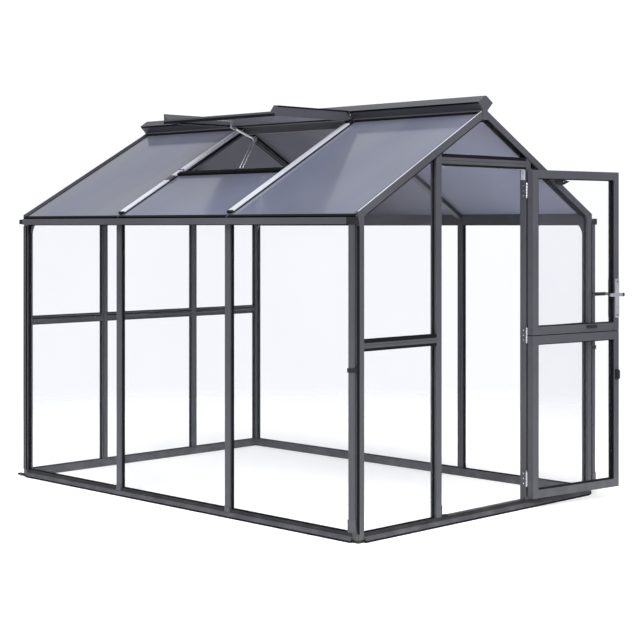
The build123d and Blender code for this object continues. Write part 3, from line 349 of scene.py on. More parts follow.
def make_coat(surface, colour):
    """Satin powder coat: orange-peel grain, slow drift in tone, a little dust near the ground."""
    _, tree, shader = new_material("Powder coat")
    detail = add_group(tree, surface, drift_scale=1.7, grain_scale=850, dust_height=0.18)
    tone = add_tone(tree, detail, colour, 0.86, 1.16)
    dust = add_math(tree, "MULTIPLY", detail.outputs["Dust"], 0.16)
    set_inputs(tree, shader, {
        "Base Color": add_mix(tree, dust, tone, (0.30, 0.29, 0.27, 1)),
        "Roughness": add_range(tree, detail.outputs["Drift"], 0.36, 0.50),
        "Specular IOR Level": 0.35,
        "Normal": add_bump(tree, detail.outputs["Grain"], 0.10, 0.0002),
    })


def make_cap(surface, lines, colour):
    """Pale satin caps with drawn lines and a slow drift in tone."""
    _, tree, shader = new_material("Pale cap")
    detail = add_group(tree, surface, drift_scale=2.4, grain_scale=700, dust_height=0.2)
    drawn = add_group(tree, lines, across=260, along=3)
    set_inputs(tree, shader, {
        "Base Color": add_tone(tree, detail, colour, 0.9, 1.12),
        "Metallic": 0.25,
        "Roughness": add_range(tree, drawn.outputs["Lines"], 0.28, 0.42),
        "Normal": add_bump(tree, detail.outputs["Grain"], 0.08, 0.0002),
    })


def make_clear_pane(surface, colour):
    """Clear pane: nearly invisible, with a faint tint and a slow wave in its faces."""
    _, tree, shader = new_material("Clear pane")
    detail = add_group(tree, surface, drift_scale=0.9, grain_scale=3, dust_height=0.12)
    veil = add_range(tree, detail.outputs["Drift"], 0.028, 0.040)
    dust = add_math(tree, "MULTIPLY", detail.outputs["Dust"], 0.03)
    set_inputs(tree, shader, {
        "Base Color": add_tone(tree, detail, colour, 0.9, 1.1),
        "Roughness": add_range(tree, detail.outputs["Drift"], 0.02, 0.06),
        "Alpha": add_math(tree, "ADD", veil, dust),
        "Normal": add_bump(tree, detail.outputs["Grain"], 0.05, 0.001),
    })


def make_smoked_sheet(surface, colour):
    """Smoked roof sheet: glossy above with soft grey streaks of painted reflection; matt below,
    where painted light and shade make the underside lighter towards the front and darker towards
    the back.
    """
    _, tree, shader = new_material("Smoked sheet")
    detail = add_group(tree, surface, drift_scale=0.9, grain_scale=1.6, dust_height=0.1)
    place = tree.nodes.new("ShaderNodeTexCoord")
    stretched = add_stretch(tree, place.outputs["Object"], (0.5, 2.6, 0.5))
    # Painted reflection: soft grey streaks stretched along the sheet lighten its topside and make
    # it a little clearer.
    bands = add_noise(tree, stretched, 1.1, 2)
    above = add_mix(
        tree, add_range(tree, bands, 0, 0.45, 0.42, 0.68),
        add_tone(tree, detail, colour, 0.82, 1.22), (0.15, 0.155, 0.165, 1),
    )
    # Painted light and shade on the underside: lighter towards the front, darker towards the back.
    depth = add_range(tree, add_axis(tree, place.outputs["Object"], "Y"), 0, 1, -1.0, 0.1)
    below = add_mix(tree, depth, tint(colour, 1.8), tint(colour, 0.40))
    underside = add_range(tree, add_axis(tree, place.outputs["Normal"], "Z"), 1, 0, -0.3, 0.3)
    gloss = add_range(tree, detail.outputs["Drift"], 0.08, 0.16)
    matt = add_math(tree, "MULTIPLY", underside, 0.62)
    set_inputs(tree, shader, {
        "Base Color": add_mix(tree, underside, above, below),
        "Roughness": add_math(tree, "MAXIMUM", gloss, matt),
        "Alpha": add_range(tree, bands, 0.985, 0.955),
        "Normal": add_bump(tree, detail.outputs["Grain"], 0.12, 0.004),
    })


def make_moulding(surface, colour):
    """Black moulded plastic with a fine spark-eroded grain."""
    _, tree, shader = new_material("Black moulding")
    detail = add_group(tree, surface, drift_scale=9, grain_scale=1400, dust_height=0.1)
    tone = add_tone(tree, detail, colour, 0.8, 1.5)
    dust = add_math(tree, "MULTIPLY", detail.outputs["Dust"], 0.12)
    set_inputs(tree, shader, {
        "Base Color": add_mix(tree, dust, tone, (0.22, 0.21, 0.19, 1)),
        "Roughness": add_range(tree, detail.outputs["Grain"], 0.48, 0.64),
        "Specular IOR Level": 0.22,
        "Normal": add_bump(tree, detail.outputs["Grain"], 0.22, 0.0002),
    })


def make_rubber(surface, colour):
    """Matt black rubber with a slight bloom."""
    _, tree, shader = new_material("Rubber seal")
    detail = add_group(tree, surface, drift_scale=5, grain_scale=500, dust_height=0.2)
    set_inputs(tree, shader, {
        "Base Color": add_tone(tree, detail, colour, 0.8, 1.7),
        "Roughness": add_range(tree, detail.outputs["Drift"], 0.6, 0.75),
        "Specular IOR Level": 0.08,
        "Normal": add_bump(tree, detail.outputs["Grain"], 0.12, 0.0003),
    })


def make_steel(surface, lines, name, colour):
    """Brushed steel with lines that run upright."""
    _, tree, shader = new_material(name)
    detail = add_group(tree, surface, drift_scale=11, grain_scale=900, dust_height=0.1)
    drawn = add_group(tree, lines, across=1500, along=40)
    set_inputs(tree, shader, {
        "Base Color": add_tone(tree, detail, colour, 0.82, 1.1),
        "Metallic": 1,
        "Roughness": add_range(tree, drawn.outputs["Lines"], 0.2, 0.4),
        "Normal": add_bump(tree, drawn.outputs["Lines"], 0.06, 0.0001),
    })


def finish(name):
    """A material by name, with all of them made on first use."""
    if "Powder coat" not in bpy.data.materials:
        colours = bpy.context.scene.greenhouse_finishes
        surface = make_surface_group()
        lines = make_brush_group()
        make_coat(surface, colours.coat)
        make_cap(surface, lines, colours.cap)
        make_clear_pane(surface, colours.clear_pane)
        make_smoked_sheet(surface, colours.smoked_pane)
        make_moulding(surface, colours.moulding)
        make_rubber(surface, colours.rubber)
        make_steel(surface, lines, "Brushed steel", colours.steel)
        make_steel(surface, lines, "Dull steel", colours.stay)
    return bpy.data.materials[name]


# Building blocks for the pieces
def nodes_with_slot(slot):
    """CAD nodes that the record gives one material slot."""
    return [node for node in nodes.values() if node.data.materials[0].name == slot]


def body_of(node_name):
    """The body that a CAD node rides on."""
    return nodes[node_name]["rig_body"]


def soften(node, width):
    """Rounds the edges of a piece with modifiers and leaves its own mesh alone."""
    weld = node.modifiers.new("Weld", "WELD")
    weld.merge_threshold = MERGE_DISTANCE
    flat = node.modifiers.new("Whole faces", "DECIMATE")
    flat.decimate_type = "DISSOLVE"
    flat.angle_limit = FLAT_ANGLE
    bevel = node.modifiers.new("Rounded edges", "BEVEL")
    bevel.width = width
    bevel.segments = ROUND_SEGMENTS
    bevel.limit_method = "ANGLE"
    bevel.angle_limit = SMOOTH_ANGLE
    bevel.use_clamp_overlap = False
    even = node.modifiers.new("Even shading", "WEIGHTED_NORMAL")
    even.weight = SHADING_WEIGHT


def dress(node, material, width=None):
    """Gives a CAD node its finish, and rounds its edges where a width is given."""
    node.material_slots[0].material = finish(material)
    if width:
        soften(node, width)


def make_piece(shape, name, material, body="house"):
    """Turns a finished shape into a piece that rides on a body."""
    bmesh.ops.remove_doubles(shape, verts=shape.verts[:], dist=MERGE_DISTANCE)
    bmesh.ops.recalc_face_normals(shape, faces=shape.faces[:])
    mesh = bpy.data.meshes.new(name)
    shape.to_mesh(mesh)
    shape.free()
    mesh.shade_smooth()
    mesh.set_sharp_from_angle(angle=SMOOTH_ANGLE)
    mesh.materials.append(finish(material))
    piece = bpy.data.objects.new(name, mesh)
    bpy.context.scene.collection.objects.link(piece)
    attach(piece, body)
    return piece


def verts_of(grown):
    """The new vertices of an extrusion."""
    return [part for part in grown["geom"] if isinstance(part, bmesh.types.BMVert)]


def faces_of(grown):
    """The new faces of an extrusion."""
    return [part for part in grown["geom"] if isinstance(part, bmesh.types.BMFace)]


def round_edges(shape, edges, width):
    """Rounds chosen edges."""
    bmesh.ops.bevel(
        shape, geom=edges, offset=width, segments=ROUND_SEGMENTS, profile=0.5,
        affect="EDGES", material=-1,
    )


def merged_copy(node_name):
    """A copy of a CAD node's mesh with its loose triangles merged into whole faces."""
    shape = bmesh.new()
    shape.from_mesh(nodes[node_name].data)
    bmesh.ops.remove_doubles(shape, verts=shape.verts[:], dist=MERGE_DISTANCE)
    bmesh.ops.dissolve_limit(
        shape, angle_limit=FLAT_ANGLE, verts=shape.verts[:], edges=shape.edges[:]
    )
    return shape


def rectangle(low, high):
    """Outline of a rectangle between two (across, up) corners."""
    return [low, (high[0], low[1]), high, (low[0], high[1])]


def edge_seal(cover, drop, depth, end):
    """Outline of a seal round a bar's upper (1) or lower (-1) edge: on its face and round it."""
    points = [(SKIN, -cover), (SKIN, drop), (-depth, drop), (-depth, 0), (0, 0), (0, -cover)]
    return [(across, up * end) for across, up in points]


def add_profile(shape, points, length, place, mirror=1):
    """Draws an outline of (across, up) points and pulls it along its frame's first axis."""
    corners = [shape.verts.new((0, across * mirror, up)) for across, up in points]
    outline = shape.faces.new(corners)
    grown = bmesh.ops.extrude_face_region(shape, geom=[outline])
    pulled = verts_of(grown)
    bmesh.ops.translate(shape, verts=pulled, vec=(length, 0, 0))
    bmesh.ops.transform(shape, verts=corners + pulled, matrix=place)
    return corners + pulled


def add_block(shape, low, high, length, place, rounding):
    """A rounded block between two (across, up) corners, pulled along its frame's first axis."""
    verts = add_profile(shape, rectangle(low, high), length, place)
    round_edges(shape, list({edge for vert in verts for edge in vert.link_edges}), rounding)


def axes_frame(start, first, second, third):
    """A frame at a point with the given axes."""
    return Matrix.Translation(start) @ Matrix((first, second, third)).transposed().to_4x4()


def roof_frame(side, along, down):
    """A place on a roof slope: first axis down the slope, third axis out of the roof."""
    fall = Vector((side * math.cos(PITCH), 0, -math.sin(PITCH)))
    out = Vector((side * math.sin(PITCH), 0, math.cos(PITCH)))
    return axes_frame(Vector((0, along, RIDGE_LINE)) + fall * down, fall, out.cross(fall), out)


def wall_frame(outward, run, height):
    """A place on a wall: first axis along it, second axis outwards, third axis up."""
    along = outward.cross(UP)
    reach = HALF_WIDTH if outward.x else HALF_LENGTH
    return axes_frame(outward * reach + along * run + UP * height, along, outward, UP)


def slope_length(across):
    """Distance down the slope from the ridge line, for a distance across the house."""
    return across / math.cos(PITCH)


def pull_down(shape, points, side, along, head, foot, mirror):
    """Pulls an outline down a roof slope from one reach to another."""
    start = slope_length(head)
    place = roof_frame(side, along, start)
    add_profile(shape, points, slope_length(foot) - start, place, mirror)


def pull_level(shape, points, side, span, down):
    """Pulls an outline level along a roof slope; its across axis looks up the slope."""
    low, high = span
    turned = roof_frame(side, (low + high) / 2, down) @ Matrix.Rotation(math.pi / 2, 4, "Z")
    place = turned @ Matrix.Translation(((low - high) / 2, 0, 0))
    add_profile(shape, points, high - low, place)


def leaf_point(along, out, height):
    """A point on the open door."""
    return HINGE_LINE + LEAF_ALONG * along + LEAF_OUT * out + UP * height


def leaf_frame(along, height):
    """A place on the open door: first axis along it, second axis towards its outer face."""
    return axes_frame(leaf_point(along, 0, height), LEAF_ALONG, LEAF_OUT, UP)


def add_disc(shape, point, outward, radius, segments, height):
    """A round disc pulled outward; gives its base face and its top face."""
    turned = outward.to_track_quat("Z", "Y").to_matrix().to_4x4()
    made = bmesh.ops.create_circle(
        shape, cap_ends=True, segments=segments, radius=radius,
        matrix=Matrix.Translation(point) @ turned,
    )
    base = made["verts"][0].link_faces[0]
    grown = bmesh.ops.extrude_face_region(shape, geom=[base])
    bmesh.ops.translate(shape, verts=verts_of(grown), vec=outward * height)
    return base, faces_of(grown)[0]


def add_screw(shape, point, outward, radius, height):
    """A round screw head with a sunk socket."""
    _, top = add_disc(shape, point, outward, radius, SCREW_SEGMENTS, height * 0.7)
    for share, rise in ((0.3, 0.3), (0.25, 0), (0.04, -0.6)):
        bmesh.ops.inset_individual(
            shape, faces=[top], thickness=radius * share, depth=height * rise
        )


def add_rod(shape, start, axis, radius, length, rounding):
    """A round rod with rounded ends from a point along an axis."""
    caps = add_disc(shape, start, axis, radius, ROD_SEGMENTS, length)
    round_edges(shape, list({edge for face in caps for edge in face.edges}), rounding)


# Operators, one for each group of pieces
class GREENHOUSE_OT_coat_bars(bpy.types.Operator):
    """Coats the frame bars and rounds their edges"""

    bl_idname = "greenhouse.coat_bars"
    bl_label = "Coat the bars"

    def execute(self, context):
        for bar in nodes_with_slot("frame"):
            dress(bar, "Powder coat", context.scene.greenhouse_sizes.edge_round)
        return {"FINISHED"}


class GREENHOUSE_OT_slim_bars(bpy.types.Operator):
    """Sets slim bars with an inlaid line in place of the plain ones between the corners; the line
    is a groove filled with black as painted shade
    """

    bl_idname = "greenhouse.slim_bars"
    bl_label = "Set the slim bars"

    # Node, its outer side, the way across its inner face and the lines' places across it
    bars = (
        ("side_posts_left", LEFT, LEFT.cross(UP), (0,)),
        ("side_posts_right", RIGHT, RIGHT.cross(UP), (0,)),
        ("back_posts", BACK, BACK.cross(UP), (-0.0145, 0)),
        ("back_mid_rails", BACK, UP, (-0.0180, 0.004, 0.0180)),
    )

    def execute(self, context):
        sizes = context.scene.greenhouse_sizes
        lines = bmesh.new()
        for name, outward, across, offsets in self.bars:
            shape = merged_copy(name)
            for back in self.trim(shape, outward, sizes.post_depth):
                self.cut_lines(shape, lines, back, outward, across, offsets, sizes)
            piece = make_piece(shape, name + "_slim", "Powder coat", body_of(name))
            soften(piece, sizes.edge_round)
            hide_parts(name)
        make_piece(lines, "bar_lines", "Rubber seal")
        return {"FINISHED"}

    def trim(self, shape, outward, depth):
        reach = HALF_WIDTH if outward.x else HALF_LENGTH
        cut = bmesh.ops.bisect_plane(
            shape, geom=shape.verts[:] + shape.edges[:] + shape.faces[:],
            plane_co=outward * (reach - depth), plane_no=outward, clear_inner=True,
        )
        rim = [part for part in cut["geom_cut"] if isinstance(part, bmesh.types.BMEdge)]
        return bmesh.ops.holes_fill(shape, edges=rim)["faces"]

    def cut_lines(self, shape, lines, back, outward, across, offsets, sizes):
        middle = back.calc_center_bounds()
        places = [middle + across * offset for offset in offsets]
        parts = [back] + back.edges[:] + back.verts[:]
        for place in places:
            for edge in SIDES:
                cut = place + across * edge * sizes.line_width / 2
                made = bmesh.ops.bisect_plane(shape, geom=parts, plane_co=cut, plane_no=across)
                parts = made["geom"]
        near = sizes.line_width / 4
        strips = [
            face for face in faces_of({"geom": parts})
            if any(abs((face.calc_center_bounds() - place).dot(across)) < near for place in places)
        ]
        grown = bmesh.ops.extrude_face_region(shape, geom=strips)
        bmesh.ops.translate(shape, verts=verts_of(grown), vec=outward * sizes.line_depth)
        # The black that fills each groove nearly flush is painted shade.
        fill = outward * (SKIN - sizes.line_depth)
        for floor in faces_of(grown):
            inlay = lines.faces.new([lines.verts.new(vert.co) for vert in floor.verts])
            filled = bmesh.ops.extrude_face_region(lines, geom=[inlay])
            bmesh.ops.translate(lines, verts=verts_of(filled), vec=fill)


class GREENHOUSE_OT_glaze_panes(bpy.types.Operator):
    """Gives the wall panes clear glass and the roof sheets their smoked finish"""

    bl_idname = "greenhouse.glaze_panes"
    bl_label = "Glaze the panes"

    def execute(self, context):
        for slot, material in (("clear_pane", "Clear pane"), ("roof_pane", "Smoked sheet")):
            for pane in nodes_with_slot(slot):
                dress(pane, material)
        return {"FINISHED"}


class GREENHOUSE_OT_finish_fittings(bpy.types.Operator):
    """Finishes the steel and moulded fittings, and coats the door hinges' flaps"""

    bl_idname = "greenhouse.finish_fittings"
    bl_label = "Finish the fittings"

    others = {
        "door_hinges": "Powder coat",
        "upper_leaf_hinges": "Powder coat",
        "lower_leaf_hinges": "Powder coat",
        "vent_hinge_ears": "Black moulding",
        "door_guide": "Black moulding",
        # Pale finish on the header brackets: painted highlight.
        "header_brackets": "Pale cap",
        "stay_arm": "Dull steel",
        "stay_rods": "Dull steel",
    }

    def execute(self, context):
        width = context.scene.greenhouse_sizes.fitting_round
        for slot, usual in (("steel", "Brushed steel"), ("black_plastic", "Black moulding")):
            for fitting in nodes_with_slot(slot):
                dress(fitting, self.others.get(fitting.name, usual), width)
        return {"FINISHED"}


class GREENHOUSE_OT_fit_beads(bpy.types.Operator):
    """Runs a rubber bead round both faces of the wall, gable, door and vent panes"""

    bl_idname = "greenhouse.fit_beads"
    bl_label = "Fit the glazing beads"

    def execute(self, context):
        sizes = context.scene.greenhouse_sizes
        wall, slim = sizes.wall_bead_height, sizes.slim_bead_height
        leaf, vent = sizes.leaf_bead_height, sizes.vent_bead_height
        for name, outer, inner in (
            ("wall_panes", wall, slim),
            ("gable_panes_front", slim, slim),
            ("gable_panes_back", wall, slim),
            ("upper_leaf_pane", leaf, leaf),
            ("lower_leaf_pane", leaf, leaf),
            ("vent_pane", vent, vent),
        ):
            self.add_bead(name, sizes.bead_width, outer, inner)
        return {"FINISHED"}

    def add_bead(self, name, width, outer, inner):
        shape = merged_copy(name)
        edges = [face for face in shape.faces if face.calc_area() < BROAD_AREA]
        bmesh.ops.delete(shape, geom=edges, context="FACES")
        for pane in shape.faces[:]:
            outward = pane.normal.copy()
            height = outer if outward.dot(pane.calc_center_bounds()) > 0 else inner
            hidden, ring = (
                bmesh.ops.inset_individual(
                    shape, faces=[pane], thickness=inset, use_even_offset=True
                )["faces"]
                for inset in (PANE_BITE, width)
            )
            bmesh.ops.delete(shape, geom=hidden + [pane], context="FACES")
            grown = bmesh.ops.extrude_face_region(shape, geom=ring)
            bmesh.ops.translate(shape, verts=verts_of(grown), vec=outward * height)
        make_piece(shape, name + "_bead", "Rubber seal", body_of(name))


class GREENHOUSE_OT_fit_cap_trim(bpy.types.Operator):
    """Finishes the roof bar caps: gaskets along them, a plug at each foot, a cover at each head"""

    bl_idname = "greenhouse.fit_cap_trim"
    bl_label = "Fit the cap trim"

    plug_length, plug_lap, plug_rounding = 0.014, 0.005, 0.002
    cover_reach, cover_half, cover_top = (0.030, 0.062), 0.022, 0.006
    saddle_reaches, saddle_rise = ((0.488, 0.498), (0.553, 0.600)), 0.0015
    band_rounding = 0.0012
    lip_inset = 0.0005

    def execute(self, context):
        sizes = context.scene.greenhouse_sizes
        for cap in nodes_with_slot("cap"):
            dress(cap, "Pale cap", sizes.edge_round)
        gaskets, plugs, saddle = bmesh.new(), bmesh.new(), bmesh.new()
        half = CAP_WIDTH / 2 + SKIN
        low, high = (-half, PANE_TOP), (half, CAP_TOP + SKIN)
        for side in SIDES:
            for line in BAR_LINES:
                self.add_gaskets(gaskets, side, line, sizes.gasket_width)
                place = roof_frame(side, line, slope_length(CAP_FOOT) - self.plug_lap)
                add_block(plugs, low, high, self.plug_length, place, self.plug_rounding)
                self.add_band(plugs, side, line, self.cover_reach, self.cover_half, self.cover_top)
        # Two dark coated wraps over one rear cap, where the cap shows a dark break.
        for reach in self.saddle_reaches:
            self.add_band(saddle, -1, BAR_LINES[1], reach, half, CAP_TOP + self.saddle_rise)
        make_piece(gaskets, "cap_gaskets", "Rubber seal")
        make_piece(plugs, "cap_plugs", "Black moulding")
        make_piece(saddle, "cap_saddle", "Powder coat")
        return {"FINISHED"}

    def add_band(self, shape, side, line, reach, half, top):
        start, stop = (slope_length(across) for across in reach)
        place = roof_frame(side, line, start)
        low, high = (-half, CAP_UNDERSIDE), (half, top)
        add_block(shape, low, high, stop - start, place, self.band_rounding)

    def add_gaskets(self, shape, side, line, width):
        edge = CAP_WIDTH / 2
        near = edge - CAP_SEAT_INSET
        lip = [
            (near, CAP_UNDERSIDE), (near, PANE_TOP), (edge + width, PANE_TOP),
            (edge - self.lip_inset, CAP_UNDERSIDE),
        ]
        for flank in SIDES:
            faces_vent = side < 0 and flank * line < 0
            head = CROSSBAR_FOOT if faces_vent else CAP_HEAD
            pull_down(shape, lip, side, line, head, CAP_FOOT, flank * side)


class GREENHOUSE_OT_fit_verge_trim(bpy.types.Operator):
    """Trims the gable rafters: cover and seal on the sheets, a pale strip on the lip as painted
    highlight, seal below
    """

    bl_idname = "greenhouse.fit_verge_trim"
    bl_label = "Fit the verge trim"

    head, foot, strip_foot, seal_foot = 0.024, 0.945, 0.940, 0.905
    cover_width, cover_height = 0.018, 0.004
    rubber_width, rubber_height = 0.008, 0.003
    strip_inset = 0.0015
    edge_cover = 0.003
    liner = 0.0015
    depth = 0.04

    def execute(self, context):
        covers, rubbers, strips = bmesh.new(), bmesh.new(), bmesh.new()
        for side, end in CORNERS:
            self.add_trim(covers, rubbers, strips, side, end)
        make_piece(covers, "verge_covers", "Powder coat")
        make_piece(rubbers, "verge_seals", "Rubber seal")
        make_piece(strips, "verge_strips", "Pale cap")
        return {"FINISHED"}

    def add_trim(self, covers, rubbers, strips, side, end):
        inner = -LIP_WIDTH - SKIN
        middle = inner - self.cover_width
        far = middle - self.rubber_width
        cover = rectangle((middle, PANE_TOP), (inner, PANE_TOP + self.cover_height))
        rubber = [
            (middle, PANE_TOP), (middle, PANE_TOP + self.rubber_height),
            (far, PANE_TOP + SKIN), (far, PANE_TOP),
        ]
        # The pale strip along the rafter lip is a painted highlight.
        strip = rectangle((self.strip_inset - LIP_WIDTH, 0), (-self.strip_inset, SKIN))
        seal = edge_seal(self.edge_cover, self.liner, self.depth, -1)
        liner = [(across, up - self.depth) for across, up in seal]
        for shape, points, foot in (
            (covers, cover, self.foot), (rubbers, rubber, self.foot),
            (strips, strip, self.strip_foot), (rubbers, liner, self.seal_foot),
        ):
            pull_down(shape, points, side, end * HALF_LENGTH, self.head, foot, side * end)


class GREENHOUSE_OT_fit_vent_seals(bpy.types.Operator):
    """Seals the ridge, its lip and the sash's top edges, paints shade with black strips on the rear
    roof bars and on the sash's outer end, and covers the crossbar
    """

    bl_idname = "greenhouse.fit_vent_seals"
    bl_label = "Fit the vent seals"

    ridge_reach, ridge_edge = 0.030, 0.003
    bar_half = 0.4315
    face_foot = -0.0105
    edge_height, edge_lap, edge_share = 0.008, 0.004, 0.965
    skirt_top, skirt_drop, skirt_lap = 0.011, 0.0035, 0.003
    lip_edge, lip_root, lip_cover = Vector((0.060, 2.1232)), Vector((0.018, 2.0832)), 0.012
    bar_under, bar_seat = -0.040, -0.018

    def execute(self, context):
        shape = bmesh.new()
        self.add_bar_cover(shape)
        for side in SIDES:
            self.add_lip_seal(shape, side)
            self.line_bar(shape, side)
            for low, high in PANE_SPANS:
                if side > 0 or low * high > 0:
                    self.add_ridge_seal(shape, side, (low, high))
        make_piece(shape, "roof_seals", "Rubber seal")
        self.edge_sash()
        return {"FINISHED"}

    def add_bar_cover(self, shape):
        head, top = slope_length(CROSSBAR_HEAD), CROSSBAR_TOP
        width = slope_length(CROSSBAR_FOOT) - head
        cover = [
            (0, top), (0, top + SKIN), (-width - SKIN, top + SKIN),
            (-width - SKIN, self.face_foot), (-width, self.face_foot), (-width, top),
        ]
        pull_level(shape, cover, -1, (-self.bar_half, self.bar_half), head)

    def add_ridge_seal(self, shape, side, span):
        head, low = slope_length(PANE_HEAD), PANE_TOP
        width = slope_length(self.ridge_reach) - head
        seal = [(0, low), (0, low / 4), (-width, low + self.ridge_edge), (-width, low)]
        pull_level(shape, seal, side, span, head)

    def add_lip_seal(self, shape, side):
        edge = self.lip_edge
        inward = (self.lip_root - edge).normalized() * self.lip_cover
        off = Vector((-inward.y, inward.x)).normalized() * SKIN
        outline = [edge, edge + inward, edge + inward + off, edge + off]
        place = axes_frame(FRONT * HALF_LENGTH, BACK, RIGHT * side, UP)
        add_profile(shape, outline, 2 * HALF_LENGTH, place)

    # Black strips under and beside the rear roof bars: painted shade.
    def line_bar(self, shape, side):
        half, gap, under = BAR / 2, BAR / 10, self.bar_under
        middle = (under + self.bar_seat) / 2
        for low, high in (
            ((gap, under - SKIN), (half, under)),
            ((-half, under - SKIN), (-gap, under)),
            ((-half - SKIN, middle), (-half, self.bar_seat)),
        ):
            line = rectangle(low, high)
            pull_down(shape, line, side, BAR_LINES[1], CAP_HEAD, CAP_FOOT, side)

    def edge_sash(self):
        shape = bmesh.new()
        low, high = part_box("vent_sash_sides")
        end_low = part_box("vent_sash_ends")[0]
        top, drop, lap = self.skirt_top, self.skirt_drop, self.skirt_lap
        # A black strip over the lower part and underside of the sash's outer end: painted shadow.
        skirt = [(0, top), (SKIN, top), (SKIN, -drop), (-lap, -drop), (-lap, 0), (0, 0)]
        start = Vector((end_low.x, -SASH_HALF, end_low.z))
        add_profile(shape, skirt, 2 * SASH_HALF, axes_frame(start, BACK, LEFT, UP))
        points = edge_seal(self.edge_height, SKIN, self.edge_lap, 1)
        for outward in (FRONT, BACK):
            start = Vector((low.x if outward.y > 0 else high.x, outward.y * SASH_HALF, high.z))
            place = axes_frame(start, outward.cross(UP), outward, UP)
            add_profile(shape, points, (high.x - low.x) * self.edge_share, place)
        make_piece(shape, "sash_edges", "Rubber seal", "vent")


class GREENHOUSE_OT_fit_drip_strips(bpy.types.Operator):
    """Closes the lower edge of every roof sheet with a folded strip, whose black also paints the
    shade in the gap above the gutter
    """

    bl_idname = "greenhouse.fit_drip_strips"
    bl_label = "Fit the drip strips"

    tuck = 0.018

    def execute(self, context):
        shape = bmesh.new()
        tuck, top, under = self.tuck, PANE_TOP, PANE_TOP - ROOF_SHEET
        # Painted shade: the black fold darkens the sheet edge above the gutter.
        fold = [
            (0, top + SKIN), (-tuck - SKIN, top + SKIN), (-tuck - SKIN, under - SKIN),
            (0, under - SKIN), (0, under), (-tuck, under), (-tuck, top), (0, top),
        ]
        foot = slope_length(PANE_FOOT - under * math.sin(PITCH))
        for side in SIDES:
            for span in PANE_SPANS:
                pull_level(shape, fold, side, span, foot - tuck)
        make_piece(shape, "drip_strips", "Rubber seal")
        return {"FINISHED"}


class GREENHOUSE_OT_fit_rail_seals(bpy.types.Operator):
    """Seals the rails, header, corners and the door's split, paints shade with black strips on the
    sills and under their flanges, and sets the ground lugs
    """

    bl_idname = "greenhouse.fit_rail_seals"
    bl_label = "Fit the rail seals"

    wall_foot, wall_top = 0.045, 1.490
    drop = 0.006
    rail_covers, header_covers, header_lap = (0.013, 0.007), (0.011, 0.010), 0.004
    corner_cover, corner_bead, corner_band, corner_cut = 0.0078, 0.008, 0.014, 0.002
    ground_out, ground_height = 0.0128, 0.0095
    strip_low, strip_height, strip_lap = 0.0285, 0.0165, 0.010
    lug_half, lug_height, lug_length, lug_rounding = 0.012, 0.010, 0.075, 0.002
    lug_start, lug_level = 1.36, 0.004
    split_start, split_length, split_level, split_rounding = 0.0025, 0.668, 0.911, 0.001
    split_low, split_high = (-0.042, 0), (-0.009, 0.003)

    def execute(self, context):
        seals, lugs, strips, split = (bmesh.new() for _ in range(4))
        self.add_rail_seals(seals)
        for side, end in CORNERS:
            self.add_corner_seal(seals, side, end)
        # Black strips along the foot of each wall, under the sill flanges: painted shadow.
        ground = rectangle((0, 0), (self.ground_out, self.ground_height))
        # Black strips over the sill faces, lapping over their lit top edges: painted shade.
        top, lap = self.strip_height, self.strip_lap
        face = [
            (0, 0), (SKIN, 0), (SKIN, top + SKIN), (-lap, top + SKIN), (-lap, top), (0, top),
        ]
        for outward, half in WALLS:
            run = half - BAR
            add_profile(seals, ground, 2 * run, wall_frame(outward, -run, 0))
            add_profile(strips, face, 2 * run, wall_frame(outward, -run, self.strip_low))
        low, high = (-self.lug_half, 0), (self.lug_half, self.lug_height)
        for side in SIDES:
            start = Vector((side * (HALF_WIDTH - self.lug_half), self.lug_start, self.lug_level))
            place = axes_frame(start, BACK, RIGHT, UP)
            add_block(lugs, low, high, self.lug_length, place, self.lug_rounding)
        place = leaf_frame(self.split_start, self.split_level)
        length, rounding = self.split_length, self.split_rounding
        add_block(split, self.split_low, self.split_high, length, place, rounding)
        make_piece(seals, "rail_seals", "Rubber seal")
        make_piece(lugs, "ground_lugs", "Black moulding")
        make_piece(strips, "sill_strips", "Black moulding")
        make_piece(split, "split_seal", "Rubber seal", "lower_leaf")
        return {"FINISHED"}

    def add_rail_seals(self, shape):
        rail = HALF_WIDTH - DOORWAY_HALF - 2 * BAR
        upper, lower = self.rail_covers
        for run in (BAR - HALF_WIDTH, DOORWAY_HALF + BAR):
            for level, cover, end in ((rail_high.z, upper, 1), (rail_low.z, lower, -1)):
                points = edge_seal(cover, self.drop, PANE_SETBACK, end)
                add_profile(shape, points, rail, wall_frame(FRONT, run, level))
        upper, lower = self.header_covers
        for level, points in (
            (header_high.z, edge_seal(upper, self.drop, PANE_SETBACK, 1)),
            (header_low.z, edge_seal(lower, SKIN, self.header_lap, -1)),
        ):
            place = wall_frame(FRONT, -DOORWAY_HALF, level)
            add_profile(shape, points, 2 * DOORWAY_HALF, place)

    def add_corner_seal(self, shape, side, end):
        height = self.wall_top - self.wall_foot
        cover, notch, cut = self.corner_cover, CORNER_NOTCH, self.corner_cut
        section = (
            (cover, 0), (cover, -SKIN), (cut, -SKIN), (-SKIN, cut), (-SKIN, cover), (0, cover),
            (0, notch), (notch, notch), (notch, 0),
        )
        outline = [
            (side * (HALF_WIDTH - across), end * (HALF_LENGTH - along))
            for across, along in section
        ]
        add_profile(shape, outline, height, axes_frame(UP * self.wall_foot, UP, RIGHT, BACK))
        edge = Vector((side * HALF_WIDTH, end * (HALF_LENGTH - BAR), self.wall_foot))
        if end < 0:
            strip = rectangle((-PANE_SETBACK, -self.corner_bead), (-SKIN, 0))
        else:
            strip = rectangle((0, 0), (SKIN, self.corner_band))
        add_profile(shape, strip, height, axes_frame(edge, UP, RIGHT * side, BACK * end))


